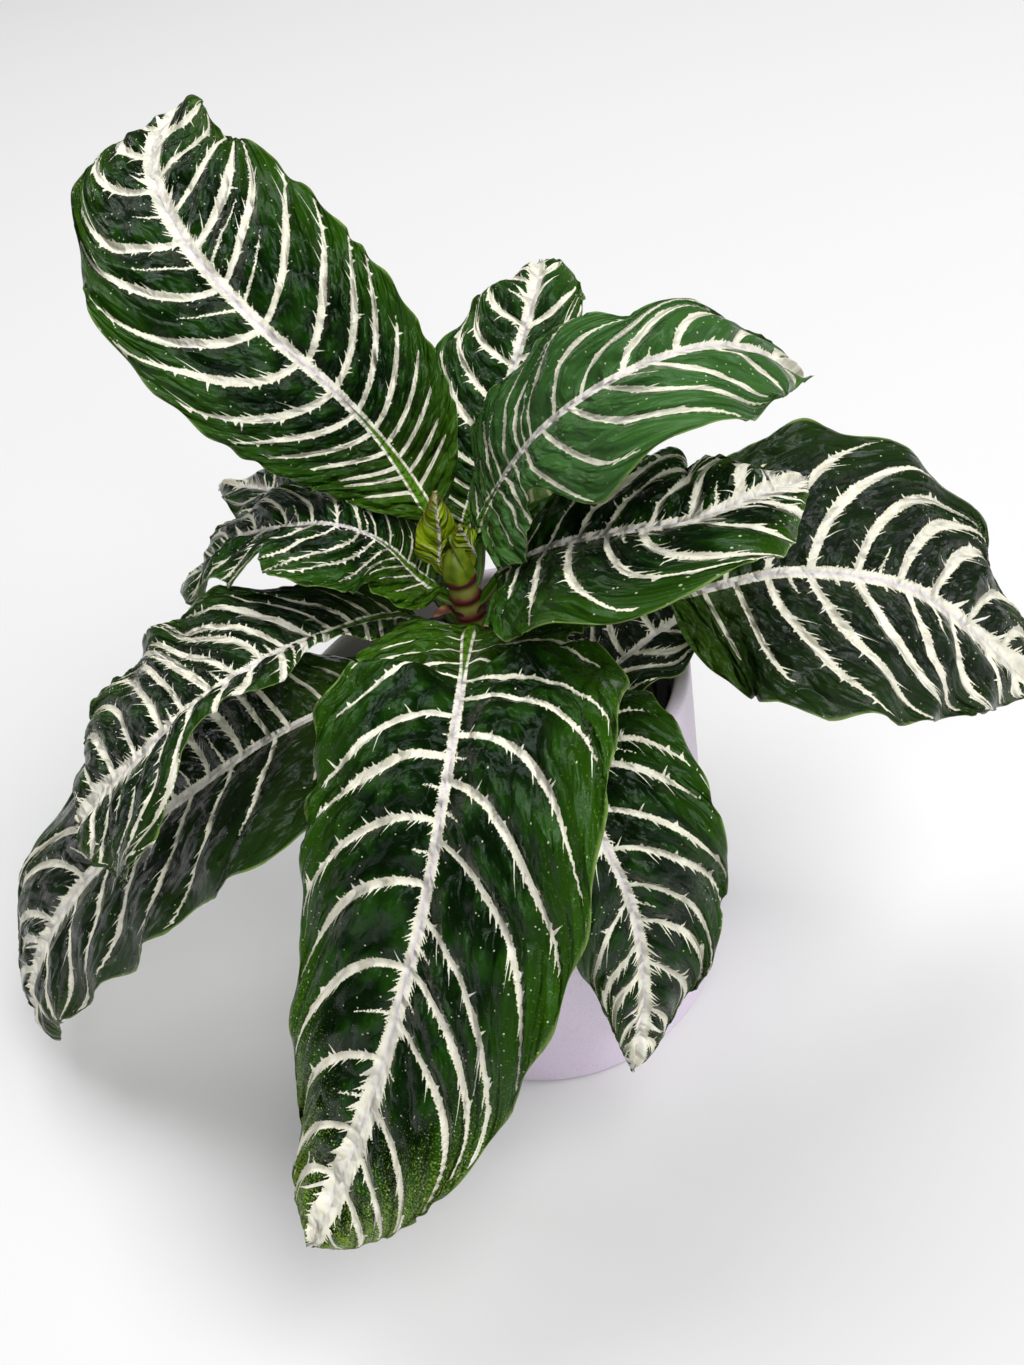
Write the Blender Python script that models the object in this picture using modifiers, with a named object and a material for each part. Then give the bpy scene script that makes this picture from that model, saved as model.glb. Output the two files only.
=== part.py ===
"""Potted zebra plant: a stem with broad arching leaves, growing in a nursery pot
that stands inside a tapered ceramic pot.

Metres, +Z up. The origin is the middle of the ceramic pot's foot, on the table.
"""

import math

import bmesh
import bpy
import numpy as np
from mathutils import Vector

MM = 0.001
CLEARANCE = 0.3

# Ceramic pot, in millimetres
POT_HEIGHT = 150.0
POT_RIM_RADIUS = 75.0
POT_FOOT_RADIUS = 63.0
POT_WALL = 5.5
POT_FLOOR = 8.0
POT_FOOT_ROUND = 3.0
ROUND_STEPS = 4
TURNED_STEPS = 44

# Nursery pot, in millimetres
NURSERY_HEIGHT = 132.0
NURSERY_RIM_RADIUS = 66.0
NURSERY_BASE_RADIUS = 54.0
NURSERY_WALL = 1.4
NURSERY_LIP = 1.2
NURSERY_LIP_HEIGHT = 9.0
DRAIN_HOLES = 6
DRAIN_HOLE_RADIUS = 5.0
DRAIN_RING_RADIUS = 32.0
DRAIN_HOLE_SEGMENTS = 12
CUTTER_EXTRA = 2.0

# Soil and stem, in millimetres
SOIL_TOP = 128.0
SOIL_CROWN = 5.0
SOIL_LUMP = 1.2
SOIL_LUMPS = 1.25
SOIL_RINGS = 7
SOIL_STEPS = 40
STEM_X = 4.0
STEM_RADIUS = 5.4
NODE_RADIUS = 5.8
STEM_FOOT = 88.0
STEM_TOP = 204.0
NODE_SPACING = 10.0
NODE_HALF_HEIGHT = 1.6
STEM_DOME_HEIGHT = 4.0
STEM_DOME_ANGLES = (50, 25, 0)
STEM_STEPS = 14
STEM_HOLE_SEGMENTS = 24

# Leaf, in millimetres
BLADE_HALF_THICKNESS = 0.4
STALK_RADIUS = 2.6
RIB_RADIUS = 0.7
TIP_HALF_WIDTH = 0.9
BLADE_SECTIONS = 23
STALK_SECTIONS = 3
ACROSS = (-1.0, -0.66, -0.3, 0.0, 0.3, 0.66, 1.0)
SPLINE_STEPS = 24
SHARP_ANGLE = 40.0
STALK_RISE = 0.5
RIB_TAPER = 0.7
BLADE_FLUSH_WITH_RIB = 0.125

# Each leaf: where its stalk leaves the stem (height and compass bearing, degrees from +X
# towards +Y), the points that its midrib passes (x, y, z in millimetres), its greatest
# width, the length of its stalk, and how it is banked at its base and at its tip (degrees,
# positive lifts the right half as seen from the stem). "right" and "left" scale the two
# halves, "base" and "tip" say how bluntly the blade begins and ends: the smaller, the
# blunter. "facing" replaces the heading that the midrib gives, for a leaf that stands
# upright, and "fold" is the angle in degrees that each half is folded up by. "dents" lists
# where a margin is folded under: its side, its place on the blade, its length as a share
# of the blade, and the share of the half that it takes away (below zero, the margin bulges
# out there).
LEFT, RIGHT = -1, 1
LEAVES = {
    "leaf_front": dict(
        height=176, bearing=-95, width=98, stalk=6, bank=(0, -3), right=0.94, left=1.12,
        base=0.36, tip=0.62, waves=4, phase=0.1,
        dents=((LEFT, 0.14, 0.04, 0.3), (RIGHT, 0.16, 0.04, 0.25)),
        midrib=((1, -18, 185), (-6, -62, 195), (-17, -91, 186), (-32, -107, 160),
                (-50, -119, 130), (-73, -131, 95), (-100, -141, 60)),
    ),
    "leaf_back_left": dict(
        height=194, bearing=112, width=88, stalk=22, bank=(5, 22), right=1.0, left=0.94,
        base=0.6, tip=0.6, waves=5, phase=0.4,
        midrib=((-1, 23, 214), (-9, 36, 236), (-20, 44, 256), (-37, 58, 278), (-52, 83, 296),
                (-60, 109, 309), (-61, 130, 319), (-54, 145, 325), (-42, 158, 326)),
    ),
    "leaf_back": dict(
        height=172, bearing=80, width=72, stalk=34, bank=(0, 0), right=0.8, left=0.92,
        base=0.55, tip=0.75, waves=4, phase=0.2,
        midrib=((8, 30, 189), (22, 50, 209), (42, 68, 231), (58, 88, 249), (65, 110, 251)),
    ),
    "leaf_right_upper": dict(
        height=189, bearing=40, width=80, stalk=16, bank=(-12, -20), left=0.68, right=1.02,
        base=0.55, tip=0.95, waves=4, phase=0.7, dents=((RIGHT, 0.32, 0.1, 0.5),),
        midrib=((16, 12, 208), (30, 2, 232), (49, -16, 256), (76, -27, 270), (104, -17, 262),
                (129, -1, 235)),
    ),
    "leaf_right": dict(
        height=184, bearing=-8, width=84, stalk=12, bank=(-3, -5), left=0.82, right=1.0,
        base=0.58, tip=0.85, waves=4, phase=0.3, dents=((RIGHT, 0.92, 0.14, 0.35),),
        midrib=((19, -3, 197), (34, -18, 211), (54, -40, 224), (74, -54, 230), (94, -52, 230),
                (116, -37, 222)),
    ),
    "leaf_far_right": dict(
        height=163, bearing=-14, width=112, stalk=66, bank=(-25, -28), right=0.94,
        left=0.98, base=0.5, tip=0.88, waves=5, phase=0.0,
        midrib=((46, -13, 174), (92, -25, 182), (111, -32, 184), (141, -36, 172),
                (160, -35, 152), (190, -36, 108)),
    ),
    "leaf_left": dict(
        height=168, bearing=160, width=98, stalk=18, bank=(-4, 16), right=0.94, left=0.93,
        base=0.68, tip=0.5, waves=4, phase=0.6,
        dents=((LEFT, 0.28, 0.14, 0.78), (LEFT, 0.5, 0.13, 0.65)),
        midrib=((-20, 12, 180), (-37, 4, 188), (-68, -14, 196), (-95, -21, 190),
                (-120, -14, 171), (-138, -6, 156), (-153, -2, 141)),
    ),
    "leaf_left_lower": dict(
        height=153, bearing=178, width=88, stalk=25, bank=(5, 32), left=1.14, base=0.48, tip=0.58,
        waves=5, phase=0.2, dents=((LEFT, 0.2, 0.08, -0.25),),
        midrib=((-27, 2, 160), (-61, -12, 166), (-91, -8, 154), (-158, 17, 106),
                (-196, 25, 70), (-214, 24, 42), (-214, 17, 18)),
    ),
    "leaf_front_right": dict(
        height=157, bearing=-72, width=76, stalk=22, bank=(0, 0), left=0.95, right=0.73,
        base=0.5, tip=0.85, waves=4, phase=0.5,
        midrib=((13, -28, 166), (22, -78, 166), (25, -96, 150), (28, -98, 128), (27, -98, 98),
                (22, -98, 70), (14, -99, 46)),
    ),
    "leaf_left_small": dict(
        height=186, bearing=160, width=66, stalk=6, bank=(-14, 26), right=0.66, base=0.42,
        tip=0.7, waves=4, phase=0.8, dents=((LEFT, 0.43, 0.05, 0.4), (LEFT, 0.6, 0.08, 0.25)),
        midrib=((-10, 6, 197), (-18, 14, 210), (-32, 18, 220), (-52, 33, 216), (-72, 50, 206),
                (-100, 72, 178)),
    ),
    "leaf_back_low": dict(
        height=162, bearing=120, width=52, stalk=25, bank=(10, 10), base=0.5, tip=1.0,
        waves=4, phase=0.1,
        midrib=((-14, 42, 182), (-50, 94, 190), (-66, 124, 184), (-88, 160, 170)),
    ),
    "leaf_right_low": dict(
        height=146, bearing=-45, width=66, stalk=20, bank=(0, 0), right=0.74, base=0.5, tip=0.7,
        waves=4, phase=0.4,
        midrib=((19, -20, 154), (38, -25, 158), (67, -14, 163), (90, -3, 158)),
    ),
    "leaf_small_front": dict(
        height=168, bearing=-40, width=40, stalk=8, bank=(0, 0), base=0.5, tip=0.7,
        waves=3, phase=0.3,
        midrib=((12, -8, 176), (25, -24, 180), (38, -31, 172)),
    ),
    "leaf_small_right": dict(
        height=179, bearing=22, width=36, stalk=13, bank=(60, 160), base=0.5, tip=0.7,
        waves=3, phase=0.6,
        midrib=((17, 7, 188), (36, 14, 197), (57, 22, 202)),
    ),
}

# Young leaves at the tip of the stem, still folded along the midrib
YOUNG_LEAVES = {
    "young_leaf_tall": dict(
        height=199, bearing=175, facing=-80, width=15, stalk=6, bank=(0, 0), fold=40,
        base=0.3, tip=0.9, waves=2, phase=0.0,
        midrib=((0, 0, 210), (2, 0, 222), (4, -1, 233)),
    ),
    "young_leaf_short": dict(
        height=199, bearing=0, facing=-60, width=11, stalk=7, bank=(0, 0), fold=45,
        base=0.4, tip=0.9, waves=2, phase=0.5,
        midrib=((10.0, -1.5, 208), (8.5, -2.5, 219)),
    ),
}

BLADE_FOLD = 14.0
FOLD_KEPT_AT_TIP = 0.4
BLADE_DROOP = 0.12
WAVE_HEIGHT = 2.5
WAVE_SHIFT = 0.22
WAVE_FULL_WIDTH = 15.0
WAVE_POWER = 1.6


def clear_scene():
    for obj in list(bpy.data.objects):
        bpy.data.objects.remove(obj)


def new_collection(name):
    made = bpy.data.collections.new(name)
    bpy.context.scene.collection.children.link(made)
    return made


def new_material(name, rgb, roughness):
    made = bpy.data.materials.new(name)
    made.use_nodes = True
    surface = made.node_tree.nodes["Principled BSDF"]
    surface.inputs["Base Color"].default_value = (*rgb, 1.0)
    surface.inputs["Roughness"].default_value = roughness
    surface.inputs["Metallic"].default_value = 0.0
    return made


def add_object(name, mesh, collection, material):
    obj = bpy.data.objects.new(name, mesh)
    collection.objects.link(obj)
    mesh.materials.append(material)
    return obj


def shade_round(mesh):
    mesh.shade_smooth()
    mesh.set_sharp_from_angle(angle=math.radians(SHARP_ANGLE))


def turned(name, profile, collection, material, steps=TURNED_STEPS):
    """A closed turned solid. The profile is (radius, height) in millimetres, from the top
    point on the axis, down the outer side, to the bottom point on the axis."""
    mesh = bpy.data.meshes.new(name)
    points = [Vector((radius * MM, 0.0, height * MM)) for radius, height in profile]
    edges = [(i, i + 1) for i in range(len(points) - 1)]
    mesh.from_pydata(points, edges, [])
    obj = add_object(name, mesh, collection, material)
    screw = obj.modifiers.new("Turn", "SCREW")
    screw.steps = steps
    screw.render_steps = steps
    screw.use_merge_vertices = True
    screw.merge_threshold = 0.00001
    screw.use_smooth_shade = True
    return obj


def arc_points(middle, radius, start, end):
    """Points of an arc about (radius, height) from the start to the end angle, degrees."""
    angles = np.radians(np.linspace(start, end, ROUND_STEPS + 1))
    return [
        (middle[0] + radius * math.cos(a), middle[1] + radius * math.sin(a)) for a in angles
    ]


def make_pot(collection, material):
    """The tapered ceramic pot, with a half-round rim and a softly rounded foot."""
    half_wall = POT_WALL / 2
    slope = (POT_RIM_RADIUS - POT_FOOT_RADIUS) / POT_HEIGHT
    inner_foot = POT_FOOT_RADIUS + slope * POT_FLOOR - POT_WALL
    profile = [(0.0, POT_FLOOR)]
    profile += arc_points(
        (inner_foot - POT_FOOT_ROUND, POT_FLOOR + POT_FOOT_ROUND), POT_FOOT_ROUND, -90, 0
    )
    profile += arc_points(
        (POT_RIM_RADIUS - half_wall, POT_HEIGHT - half_wall), half_wall, 180, 0
    )
    profile += arc_points(
        (POT_FOOT_RADIUS - POT_FOOT_ROUND, POT_FOOT_ROUND), POT_FOOT_ROUND, 0, -90
    )
    profile.append((0.0, 0.0))
    return turned("pot", profile, collection, material)


def make_cylinder(name, radius, low, high, at, collection, segments):
    mesh = bpy.data.meshes.new(name)
    shape = bmesh.new()
    bmesh.ops.create_cone(
        shape, cap_ends=True, segments=segments, radius1=radius * MM, radius2=radius * MM,
        depth=(high - low) * MM,
    )
    shape.to_mesh(mesh)
    shape.free()
    obj = bpy.data.objects.new(name, mesh)
    collection.objects.link(obj)
    obj.location = (at[0] * MM, at[1] * MM, (high + low) / 2 * MM)
    obj.hide_render = True
    obj.display_type = "WIRE"
    return obj


def cut(obj, cutter):
    boolean = obj.modifiers.new("Cut " + cutter.name, "BOOLEAN")
    boolean.operation = "DIFFERENCE"
    boolean.solver = "EXACT"
    boolean.object = cutter


def make_nursery_pot(collection, cutters, material):
    """The thin plastic pot that the plant was raised in, with a lip and drainage holes."""
    low = POT_FLOOR + CLEARANCE
    high = low + NURSERY_HEIGHT
    lip_low = high - NURSERY_LIP_HEIGHT
    below_lip = NURSERY_RIM_RADIUS - NURSERY_LIP - NURSERY_WALL
    profile = [
        (0.0, low + NURSERY_WALL),
        (NURSERY_BASE_RADIUS - NURSERY_WALL, low + NURSERY_WALL),
        (below_lip - NURSERY_WALL, high),
        (NURSERY_RIM_RADIUS, high),
        (NURSERY_RIM_RADIUS, lip_low),
        (below_lip, lip_low),
        (NURSERY_BASE_RADIUS, low),
        (0.0, low),
    ]
    pot = turned("nursery_pot", profile, collection, material)
    for i in range(DRAIN_HOLES):
        angle = 2 * math.pi * i / DRAIN_HOLES
        at = (DRAIN_RING_RADIUS * math.cos(angle), DRAIN_RING_RADIUS * math.sin(angle))
        hole = make_cylinder(
            f"drain_{i}", DRAIN_HOLE_RADIUS, low - CUTTER_EXTRA,
            low + NURSERY_WALL + CUTTER_EXTRA, at, cutters, DRAIN_HOLE_SEGMENTS,
        )
        cut(pot, hole)
    return pot


def soil_radius(height):
    """The nursery pot's inner radius at this height, less the clearance."""
    low = POT_FLOOR + CLEARANCE
    base = NURSERY_BASE_RADIUS - NURSERY_WALL
    top = NURSERY_RIM_RADIUS - NURSERY_LIP - 2 * NURSERY_WALL
    return base + (top - base) * (height - low) / NURSERY_HEIGHT - 2 * CLEARANCE


def make_soil(collection, cutters, material):
    """Soil with a low, slightly uneven crown and a plain hole that the stem stands in."""
    low = POT_FLOOR + NURSERY_WALL + 2 * CLEARANCE
    edge = soil_radius(SOIL_TOP)
    profile = []
    for i in range(SOIL_RINGS + 1):
        share = i / SOIL_RINGS
        lump = SOIL_LUMP * (1 - share) * math.sin(2 * math.pi * SOIL_LUMPS * share)
        profile.append((edge * share, SOIL_TOP + SOIL_CROWN * (1 - share**2) + lump))
    profile += [(soil_radius(low), low), (0.0, low)]
    soil = turned("soil", profile, collection, material, SOIL_STEPS)
    hole = make_cylinder(
        "stem_hole", STEM_RADIUS + 2 * CLEARANCE, STEM_FOOT - CLEARANCE, STEM_TOP, (STEM_X, 0),
        cutters, STEM_HOLE_SEGMENTS,
    )
    cut(soil, hole)
    return soil


def make_stem(collection, material):
    """The upright stem, with a low ring at each node, domed at the top."""
    profile = [(0.0, STEM_TOP)]
    profile += [
        (STEM_RADIUS * math.cos(a), STEM_TOP - STEM_DOME_HEIGHT * (1 - math.sin(a)))
        for a in np.radians(STEM_DOME_ANGLES)
    ]
    height = STEM_TOP - STEM_DOME_HEIGHT - NODE_SPACING / 2
    while height > SOIL_TOP + SOIL_CROWN + NODE_SPACING:
        profile += [
            (STEM_RADIUS, height + NODE_HALF_HEIGHT),
            (NODE_RADIUS, height),
            (STEM_RADIUS, height - NODE_HALF_HEIGHT),
        ]
        height -= NODE_SPACING
    profile += [(STEM_RADIUS, STEM_FOOT), (0.0, STEM_FOOT)]
    stem = turned("stem", profile, collection, material, STEM_STEPS)
    stem.location = (STEM_X * MM, 0.0, 0.0)
    return stem


def smooth_curve(points):
    """Close points along a smooth curve through the given points, and how far along it
    each of them is."""
    given = np.array(points, float)
    given = np.vstack([2 * given[0] - given[1], given, 2 * given[-1] - given[-2]])
    fine = []
    for before, start, end, after in zip(given, given[1:], given[2:], given[3:]):
        for s in np.linspace(0, 1, SPLINE_STEPS, endpoint=False):
            bend = 2 * before - 5 * start + 4 * end - after
            twist = 3 * start - 3 * end + after - before
            fine.append(start + ((end - before) * s + bend * s**2 + twist * s**3) / 2)
    fine.append(given[-2])
    fine = np.array(fine)
    steps = np.linalg.norm(np.diff(fine, axis=0), axis=1)
    return fine, np.concatenate([[0], np.cumsum(steps)])


def half_width(leaf, t):
    """Half the blade's width at t, which runs from 0 at its base to 1 at its tip."""
    base, tip = leaf["base"], leaf["tip"]
    widest = base / (base + tip)
    most = widest**base * (1 - widest) ** tip
    return leaf["width"] / 2 * t**base * (1 - t) ** tip / most


def leaf_midline(leaf):
    """The middle of the leaf from inside the stem to its tip: for each section its place
    on the blade (0 where the blade begins, below 0 on the stalk), its point and its
    direction."""
    bearing = math.radians(leaf["bearing"])
    start = np.array([STEM_X, 0.0, leaf["height"]])
    out = np.array([math.cos(bearing), math.sin(bearing), STALK_RISE])
    curve, along = smooth_curve(
        [start, start + out * (STEM_RADIUS + STALK_RADIUS)] + list(leaf["midrib"])
    )
    stalk = (leaf["stalk"] + STEM_RADIUS) / along[-1]
    shares = np.concatenate([
        np.linspace(0, stalk, STALK_SECTIONS, endpoint=False),
        np.linspace(stalk, 1, BLADE_SECTIONS + 1),
    ])
    line = np.stack([np.interp(shares * along[-1], along, axis) for axis in curve.T], axis=1)
    ahead = np.gradient(line, axis=0)
    ahead /= np.linalg.norm(ahead, axis=1)[:, None]
    return (shares - stalk) / (1 - stalk), shares, line, ahead


def side_shares(leaf, t, u):
    """The share of half_width that each place u across the blade gets at t: the scale of
    its side, less the dents, where the margin of the real leaf is folded under."""
    shares = np.where(u > 0, leaf.get("right", 1.0), leaf.get("left", 1.0))
    for hand, place, spread, depth in leaf.get("dents", ()):
        kept = 1 - depth * np.exp(-(((t - place) / spread) ** 2))
        shares = np.where(u * hand > 0, shares * kept, shares)
    return shares


def level_side(leaf, line):
    """The level direction to the right of the leaf, as seen from the stem."""
    span = line[-1] - line[0]
    facing = leaf.get("facing", math.degrees(math.atan2(span[1], span[0])))
    heading = math.radians(facing)
    return np.array([math.sin(heading), -math.cos(heading), 0.0])


def blade_lift(leaf, t, half, u):
    """How far the blade rises off its midrib plane at each place u across it: the fold
    along the midrib, the droop of the margin and the waves that grow towards it."""
    fold = math.radians(leaf.get("fold", BLADE_FOLD)) * (1 - (1 - FOLD_KEPT_AT_TIP) * t)
    reach = np.abs(u)
    turns = leaf["waves"] * t + leaf["phase"] + WAVE_SHIFT * np.sign(u)
    wave = WAVE_HEIGHT * reach**WAVE_POWER * np.sin(2 * math.pi * turns)
    bend = half * (reach * math.sin(fold) - BLADE_DROOP * reach**2)
    return bend + wave * min(1.0, half / WAVE_FULL_WIDTH)


def leaf_sections(leaf):
    """For each section along the leaf, its top and bottom row of points, left to right."""
    places, shares, line, aheads = leaf_midline(leaf)
    level = level_side(leaf, line)
    u = np.array(ACROSS)
    bank_base, bank_tip = leaf["bank"]
    sections = []
    for place, share, middle, ahead in zip(places, shares, line, aheads):
        t = max(place, 0.0)
        radius = STALK_RADIUS + (RIB_RADIUS - STALK_RADIUS) * share**RIB_TAPER
        half = max(half_width(leaf, t), radius * (1 - t) + TIP_HALF_WIDTH * t)
        right = level - ahead * (level @ ahead)
        right /= np.linalg.norm(right)
        up = np.cross(right, ahead)
        bank = math.radians(bank_base + (bank_tip - bank_base) * t)
        across = right * math.cos(bank) + up * math.sin(bank)
        normal = up * math.cos(bank) - right * math.sin(bank)
        lift = blade_lift(leaf, t, half, u)
        offset = half * side_shares(leaf, t, u) * u
        core = np.sqrt(np.maximum(radius**2 - offset**2, 0.0))
        sunk = max(0.0, 1 - t / BLADE_FLUSH_WITH_RIB)
        below = np.maximum(core, BLADE_HALF_THICKNESS)
        above = np.maximum(core * sunk, BLADE_HALF_THICKNESS)
        flat = middle + offset[:, None] * across + lift[:, None] * normal
        sections.append((flat + above[:, None] * normal, flat - below[:, None] * normal))
    return sections


def make_leaf(name, leaf, collection, cutter, material):
    """A closed leaf, its stalk and blade lofted in one. Both faces of the blade are split
    along the same diagonals, so that the thin waved sheet never cuts through itself."""
    sections = leaf_sections(leaf)
    count = len(ACROSS)
    shape = bmesh.new()
    rows = []
    for top, bottom in sections:
        rows.append(
            ([shape.verts.new(p * MM) for p in top], [shape.verts.new(p * MM) for p in bottom])
        )
    for (top, bottom), (next_top, next_bottom) in zip(rows, rows[1:]):
        for j in range(count - 1):
            shape.faces.new((top[j], next_top[j], top[j + 1]))
            shape.faces.new((top[j + 1], next_top[j], next_top[j + 1]))
            shape.faces.new((bottom[j], bottom[j + 1], next_bottom[j]))
            shape.faces.new((bottom[j + 1], next_bottom[j + 1], next_bottom[j]))
        for j in (0, count - 1):
            shape.faces.new((top[j], bottom[j], next_bottom[j]))
            shape.faces.new((top[j], next_bottom[j], next_top[j]))
    for top, bottom in (rows[0], rows[-1]):
        for j in range(count - 1):
            shape.faces.new((top[j], top[j + 1], bottom[j + 1]))
            shape.faces.new((top[j], bottom[j + 1], bottom[j]))
    bmesh.ops.recalc_face_normals(shape, faces=shape.faces)
    mesh = bpy.data.meshes.new(name)
    shape.to_mesh(mesh)
    shape.free()
    shade_round(mesh)
    obj = add_object(name, mesh, collection, material)
    cut(obj, cutter)
    return obj


def main():
    clear_scene()
    plant = new_collection("potted_zebra_plant")
    cutters = new_collection("cutters")
    ceramic = new_material("lilac_ceramic", (0.56, 0.48, 0.58), 0.45)
    plastic = new_material("black_plastic", (0.02, 0.02, 0.025), 0.5)
    earth = new_material("potting_soil", (0.05, 0.03, 0.02), 0.95)
    bark = new_material("green_stem", (0.20, 0.22, 0.06), 0.55)
    blade = new_material("leaf_blade", (0.02, 0.10, 0.02), 0.35)
    young = new_material("young_leaf", (0.25, 0.36, 0.05), 0.4)
    make_pot(plant, ceramic)
    make_nursery_pot(plant, cutters, plastic)
    make_soil(plant, cutters, earth)
    make_stem(plant, bark)
    socket = make_cylinder(
        "stem_clearance", NODE_RADIUS + CLEARANCE, SOIL_TOP, STEM_TOP + CLEARANCE, (STEM_X, 0),
        cutters, STEM_HOLE_SEGMENTS,
    )
    for name, leaf in LEAVES.items():
        make_leaf(name, leaf, plant, socket, blade)
    for name, leaf in YOUNG_LEAVES.items():
        make_leaf(name, leaf, plant, socket, young)


main()
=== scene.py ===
# %% [markdown]
# A potted zebra plant. It is a young house plant with one stem and broad arching leaves,
# standing in soil in a plastic nursery pot, inside a tapered lilac ceramic pot.
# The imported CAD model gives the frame, in metres, with the origin in the middle of the
# pot's foot. Every piece below is built in that same frame, so nothing has to be fitted.

import math

import bmesh
import bpy
import numpy as np
from mathutils import Matrix, Vector
from mathutils import noise as perlin


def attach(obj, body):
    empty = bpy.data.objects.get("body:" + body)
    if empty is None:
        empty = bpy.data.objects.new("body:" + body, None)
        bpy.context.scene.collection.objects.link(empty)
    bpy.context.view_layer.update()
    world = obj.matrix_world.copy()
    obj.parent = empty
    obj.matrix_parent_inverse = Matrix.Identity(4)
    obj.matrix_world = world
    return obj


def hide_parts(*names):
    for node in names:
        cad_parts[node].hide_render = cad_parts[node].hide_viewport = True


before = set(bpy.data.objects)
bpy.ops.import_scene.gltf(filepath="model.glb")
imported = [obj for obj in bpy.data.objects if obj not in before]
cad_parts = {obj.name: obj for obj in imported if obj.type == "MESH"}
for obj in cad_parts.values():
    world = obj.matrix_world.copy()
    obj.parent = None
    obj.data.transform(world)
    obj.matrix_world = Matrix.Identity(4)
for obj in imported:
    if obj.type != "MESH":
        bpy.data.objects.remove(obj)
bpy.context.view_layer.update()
MM = 0.001

# %% [markdown]
# The camera. The photograph looks down on the plant at 38 degrees and is turned by 16
# degrees, so the pot leans in the picture. The camera could be aimed with a Track To
# constraint, but its place, pitch and roll are known, so its matrix is built from them.

# %% Camera
PHOTO_HEIGHT_PX = 1365
CAMERA_PLACE_MM = (11.0, -425.0, 480.0)
CAMERA_PITCH = math.radians(38)
CAMERA_ROLL = math.radians(-16)
CAMERA_FOCAL_PX = 1500
SENSOR_MM = 36.0

camera_data = bpy.data.cameras.new("photo_camera")
camera_data.sensor_fit = "VERTICAL"
camera_data.sensor_height = SENSOR_MM
camera_data.lens = CAMERA_FOCAL_PX / PHOTO_HEIGHT_PX * SENSOR_MM
camera_data.clip_start = 0.01
camera = bpy.data.objects.new("photo_camera", camera_data)
bpy.context.scene.collection.objects.link(camera)
look = Vector((0, math.cos(CAMERA_PITCH), -math.sin(CAMERA_PITCH)))
level_right = Vector((1, 0, 0))
level_up = level_right.cross(look)
right = level_right * math.cos(CAMERA_ROLL) + level_up * math.sin(CAMERA_ROLL)
up = level_up * math.cos(CAMERA_ROLL) - level_right * math.sin(CAMERA_ROLL)
turn = Matrix((right, up, -look)).transposed().to_4x4()
camera.matrix_world = Matrix.Translation(Vector(CAMERA_PLACE_MM) * MM) @ turn
bpy.context.scene.camera = camera
print("lens in mm:", round(camera_data.lens, 2))

# %% [markdown]
# A few helpers serve every material. A colour is written as the sRGB hex value that a
# colour picker shows, and Blender wants linear light, so one function turns one into the
# other. A shader is a graph of nodes, and one function adds a node, sets its settings and
# either links or fills each of its inputs. Many plain surfaces, such as soil or dry bark,
# get their tint, their roughness and their fine relief from one and the same grain, so
# that a dark fleck is also a low one, and one function makes such a material.

# %% Colour and node helpers
def linear(hex_colour):
    """The linear RGBA of an sRGB hex colour such as "2a5a34"."""
    parts = [int(hex_colour[i:i + 2], 16) / 255 for i in (0, 2, 4)]
    return (*[c / 12.92 if c < 0.04045 else ((c + 0.055) / 1.055) ** 2.4 for c in parts], 1.0)


def fill_inputs(tree, node, inputs):
    """Fills a node's inputs, listed in order or named. Each takes a value, an output or a
    node, which then gives its first output in use."""
    for name, value in inputs.items() if isinstance(inputs, dict) else enumerate(inputs):
        if isinstance(value, bpy.types.Node):
            value = next(output for output in value.outputs if output.enabled)
        if isinstance(value, bpy.types.NodeSocket):
            tree.links.new(value, node.inputs[name])
        else:
            node.inputs[name].default_value = value


def add_node(tree, kind, inputs=(), stops=(), **settings):
    """Adds a shader node with these settings and inputs and, on a colour ramp, these stops,
    each of them a place and a hex colour."""
    made = tree.nodes.new("ShaderNode" + kind)
    for name, value in settings.items():
        setattr(made, name, value)
    for i, (place, hex_colour) in enumerate(stops):
        elements = made.color_ramp.elements
        stop = elements[i] if i < 2 else elements.new(place)
        stop.position = place
        stop.color = linear(hex_colour)
    fill_inputs(tree, made, inputs)
    return made


def new_surface(name):
    """A material with nothing but its output and a Principled BSDF."""
    made = bpy.data.materials.new(name)
    made.use_nodes = True
    tree = made.node_tree
    return made, tree, tree.nodes["Principled BSDF"]


def grained_surface(name, texture, grain, stops, rough, relief, **look):
    """A material whose colour and fine relief follow one texture. The roughness is a number,
    or a range that follows it too, and the relief is a bump's strength and depth in mm."""
    made, tree, surface = new_surface(name)
    place = add_node(tree, "TexCoord").outputs["Object"]
    grain = add_node(tree, texture, {"Vector": place, **grain})
    if isinstance(rough, tuple):
        low, high = rough
        rough = add_node(tree, "MapRange", {"Value": grain, "To Min": low, "To Max": high})
    strength, depth = relief
    bump = add_node(
        tree, "Bump", {"Height": grain, "Strength": strength, "Distance": depth * MM}
    )
    colour = add_node(tree, "ValToRGB", [grain], stops)
    fill_inputs(
        tree, surface, {"Base Color": colour, "Roughness": rough, "Normal": bump, **look}
    )
    return made


print("sRGB 808080 in linear light:", round(linear("808080")[0], 3))

# %% [markdown]
# A turned thing, such as a pot, is drawn as half its outline, which is then spun round its
# axis. Blender has a Screw modifier for that, but the spin is done here in bmesh, so that
# the piece is at once a plain mesh whose points noise can move.

# %% Turned meshes
def place_piece(name, mesh, slot, *nodes):
    """Links a mesh as a piece that rides on the frame and stands for these CAD nodes."""
    piece = bpy.data.objects.new(name, mesh)
    bpy.context.scene.collection.objects.link(piece)
    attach(piece, "root")
    if nodes:
        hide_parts(*nodes)
    return piece


def mesh_from(shape, name):
    """A mesh with the faces of a bmesh, which is then freed."""
    mesh = bpy.data.meshes.new(name)
    shape.to_mesh(mesh)
    shape.free()
    return mesh


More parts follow.
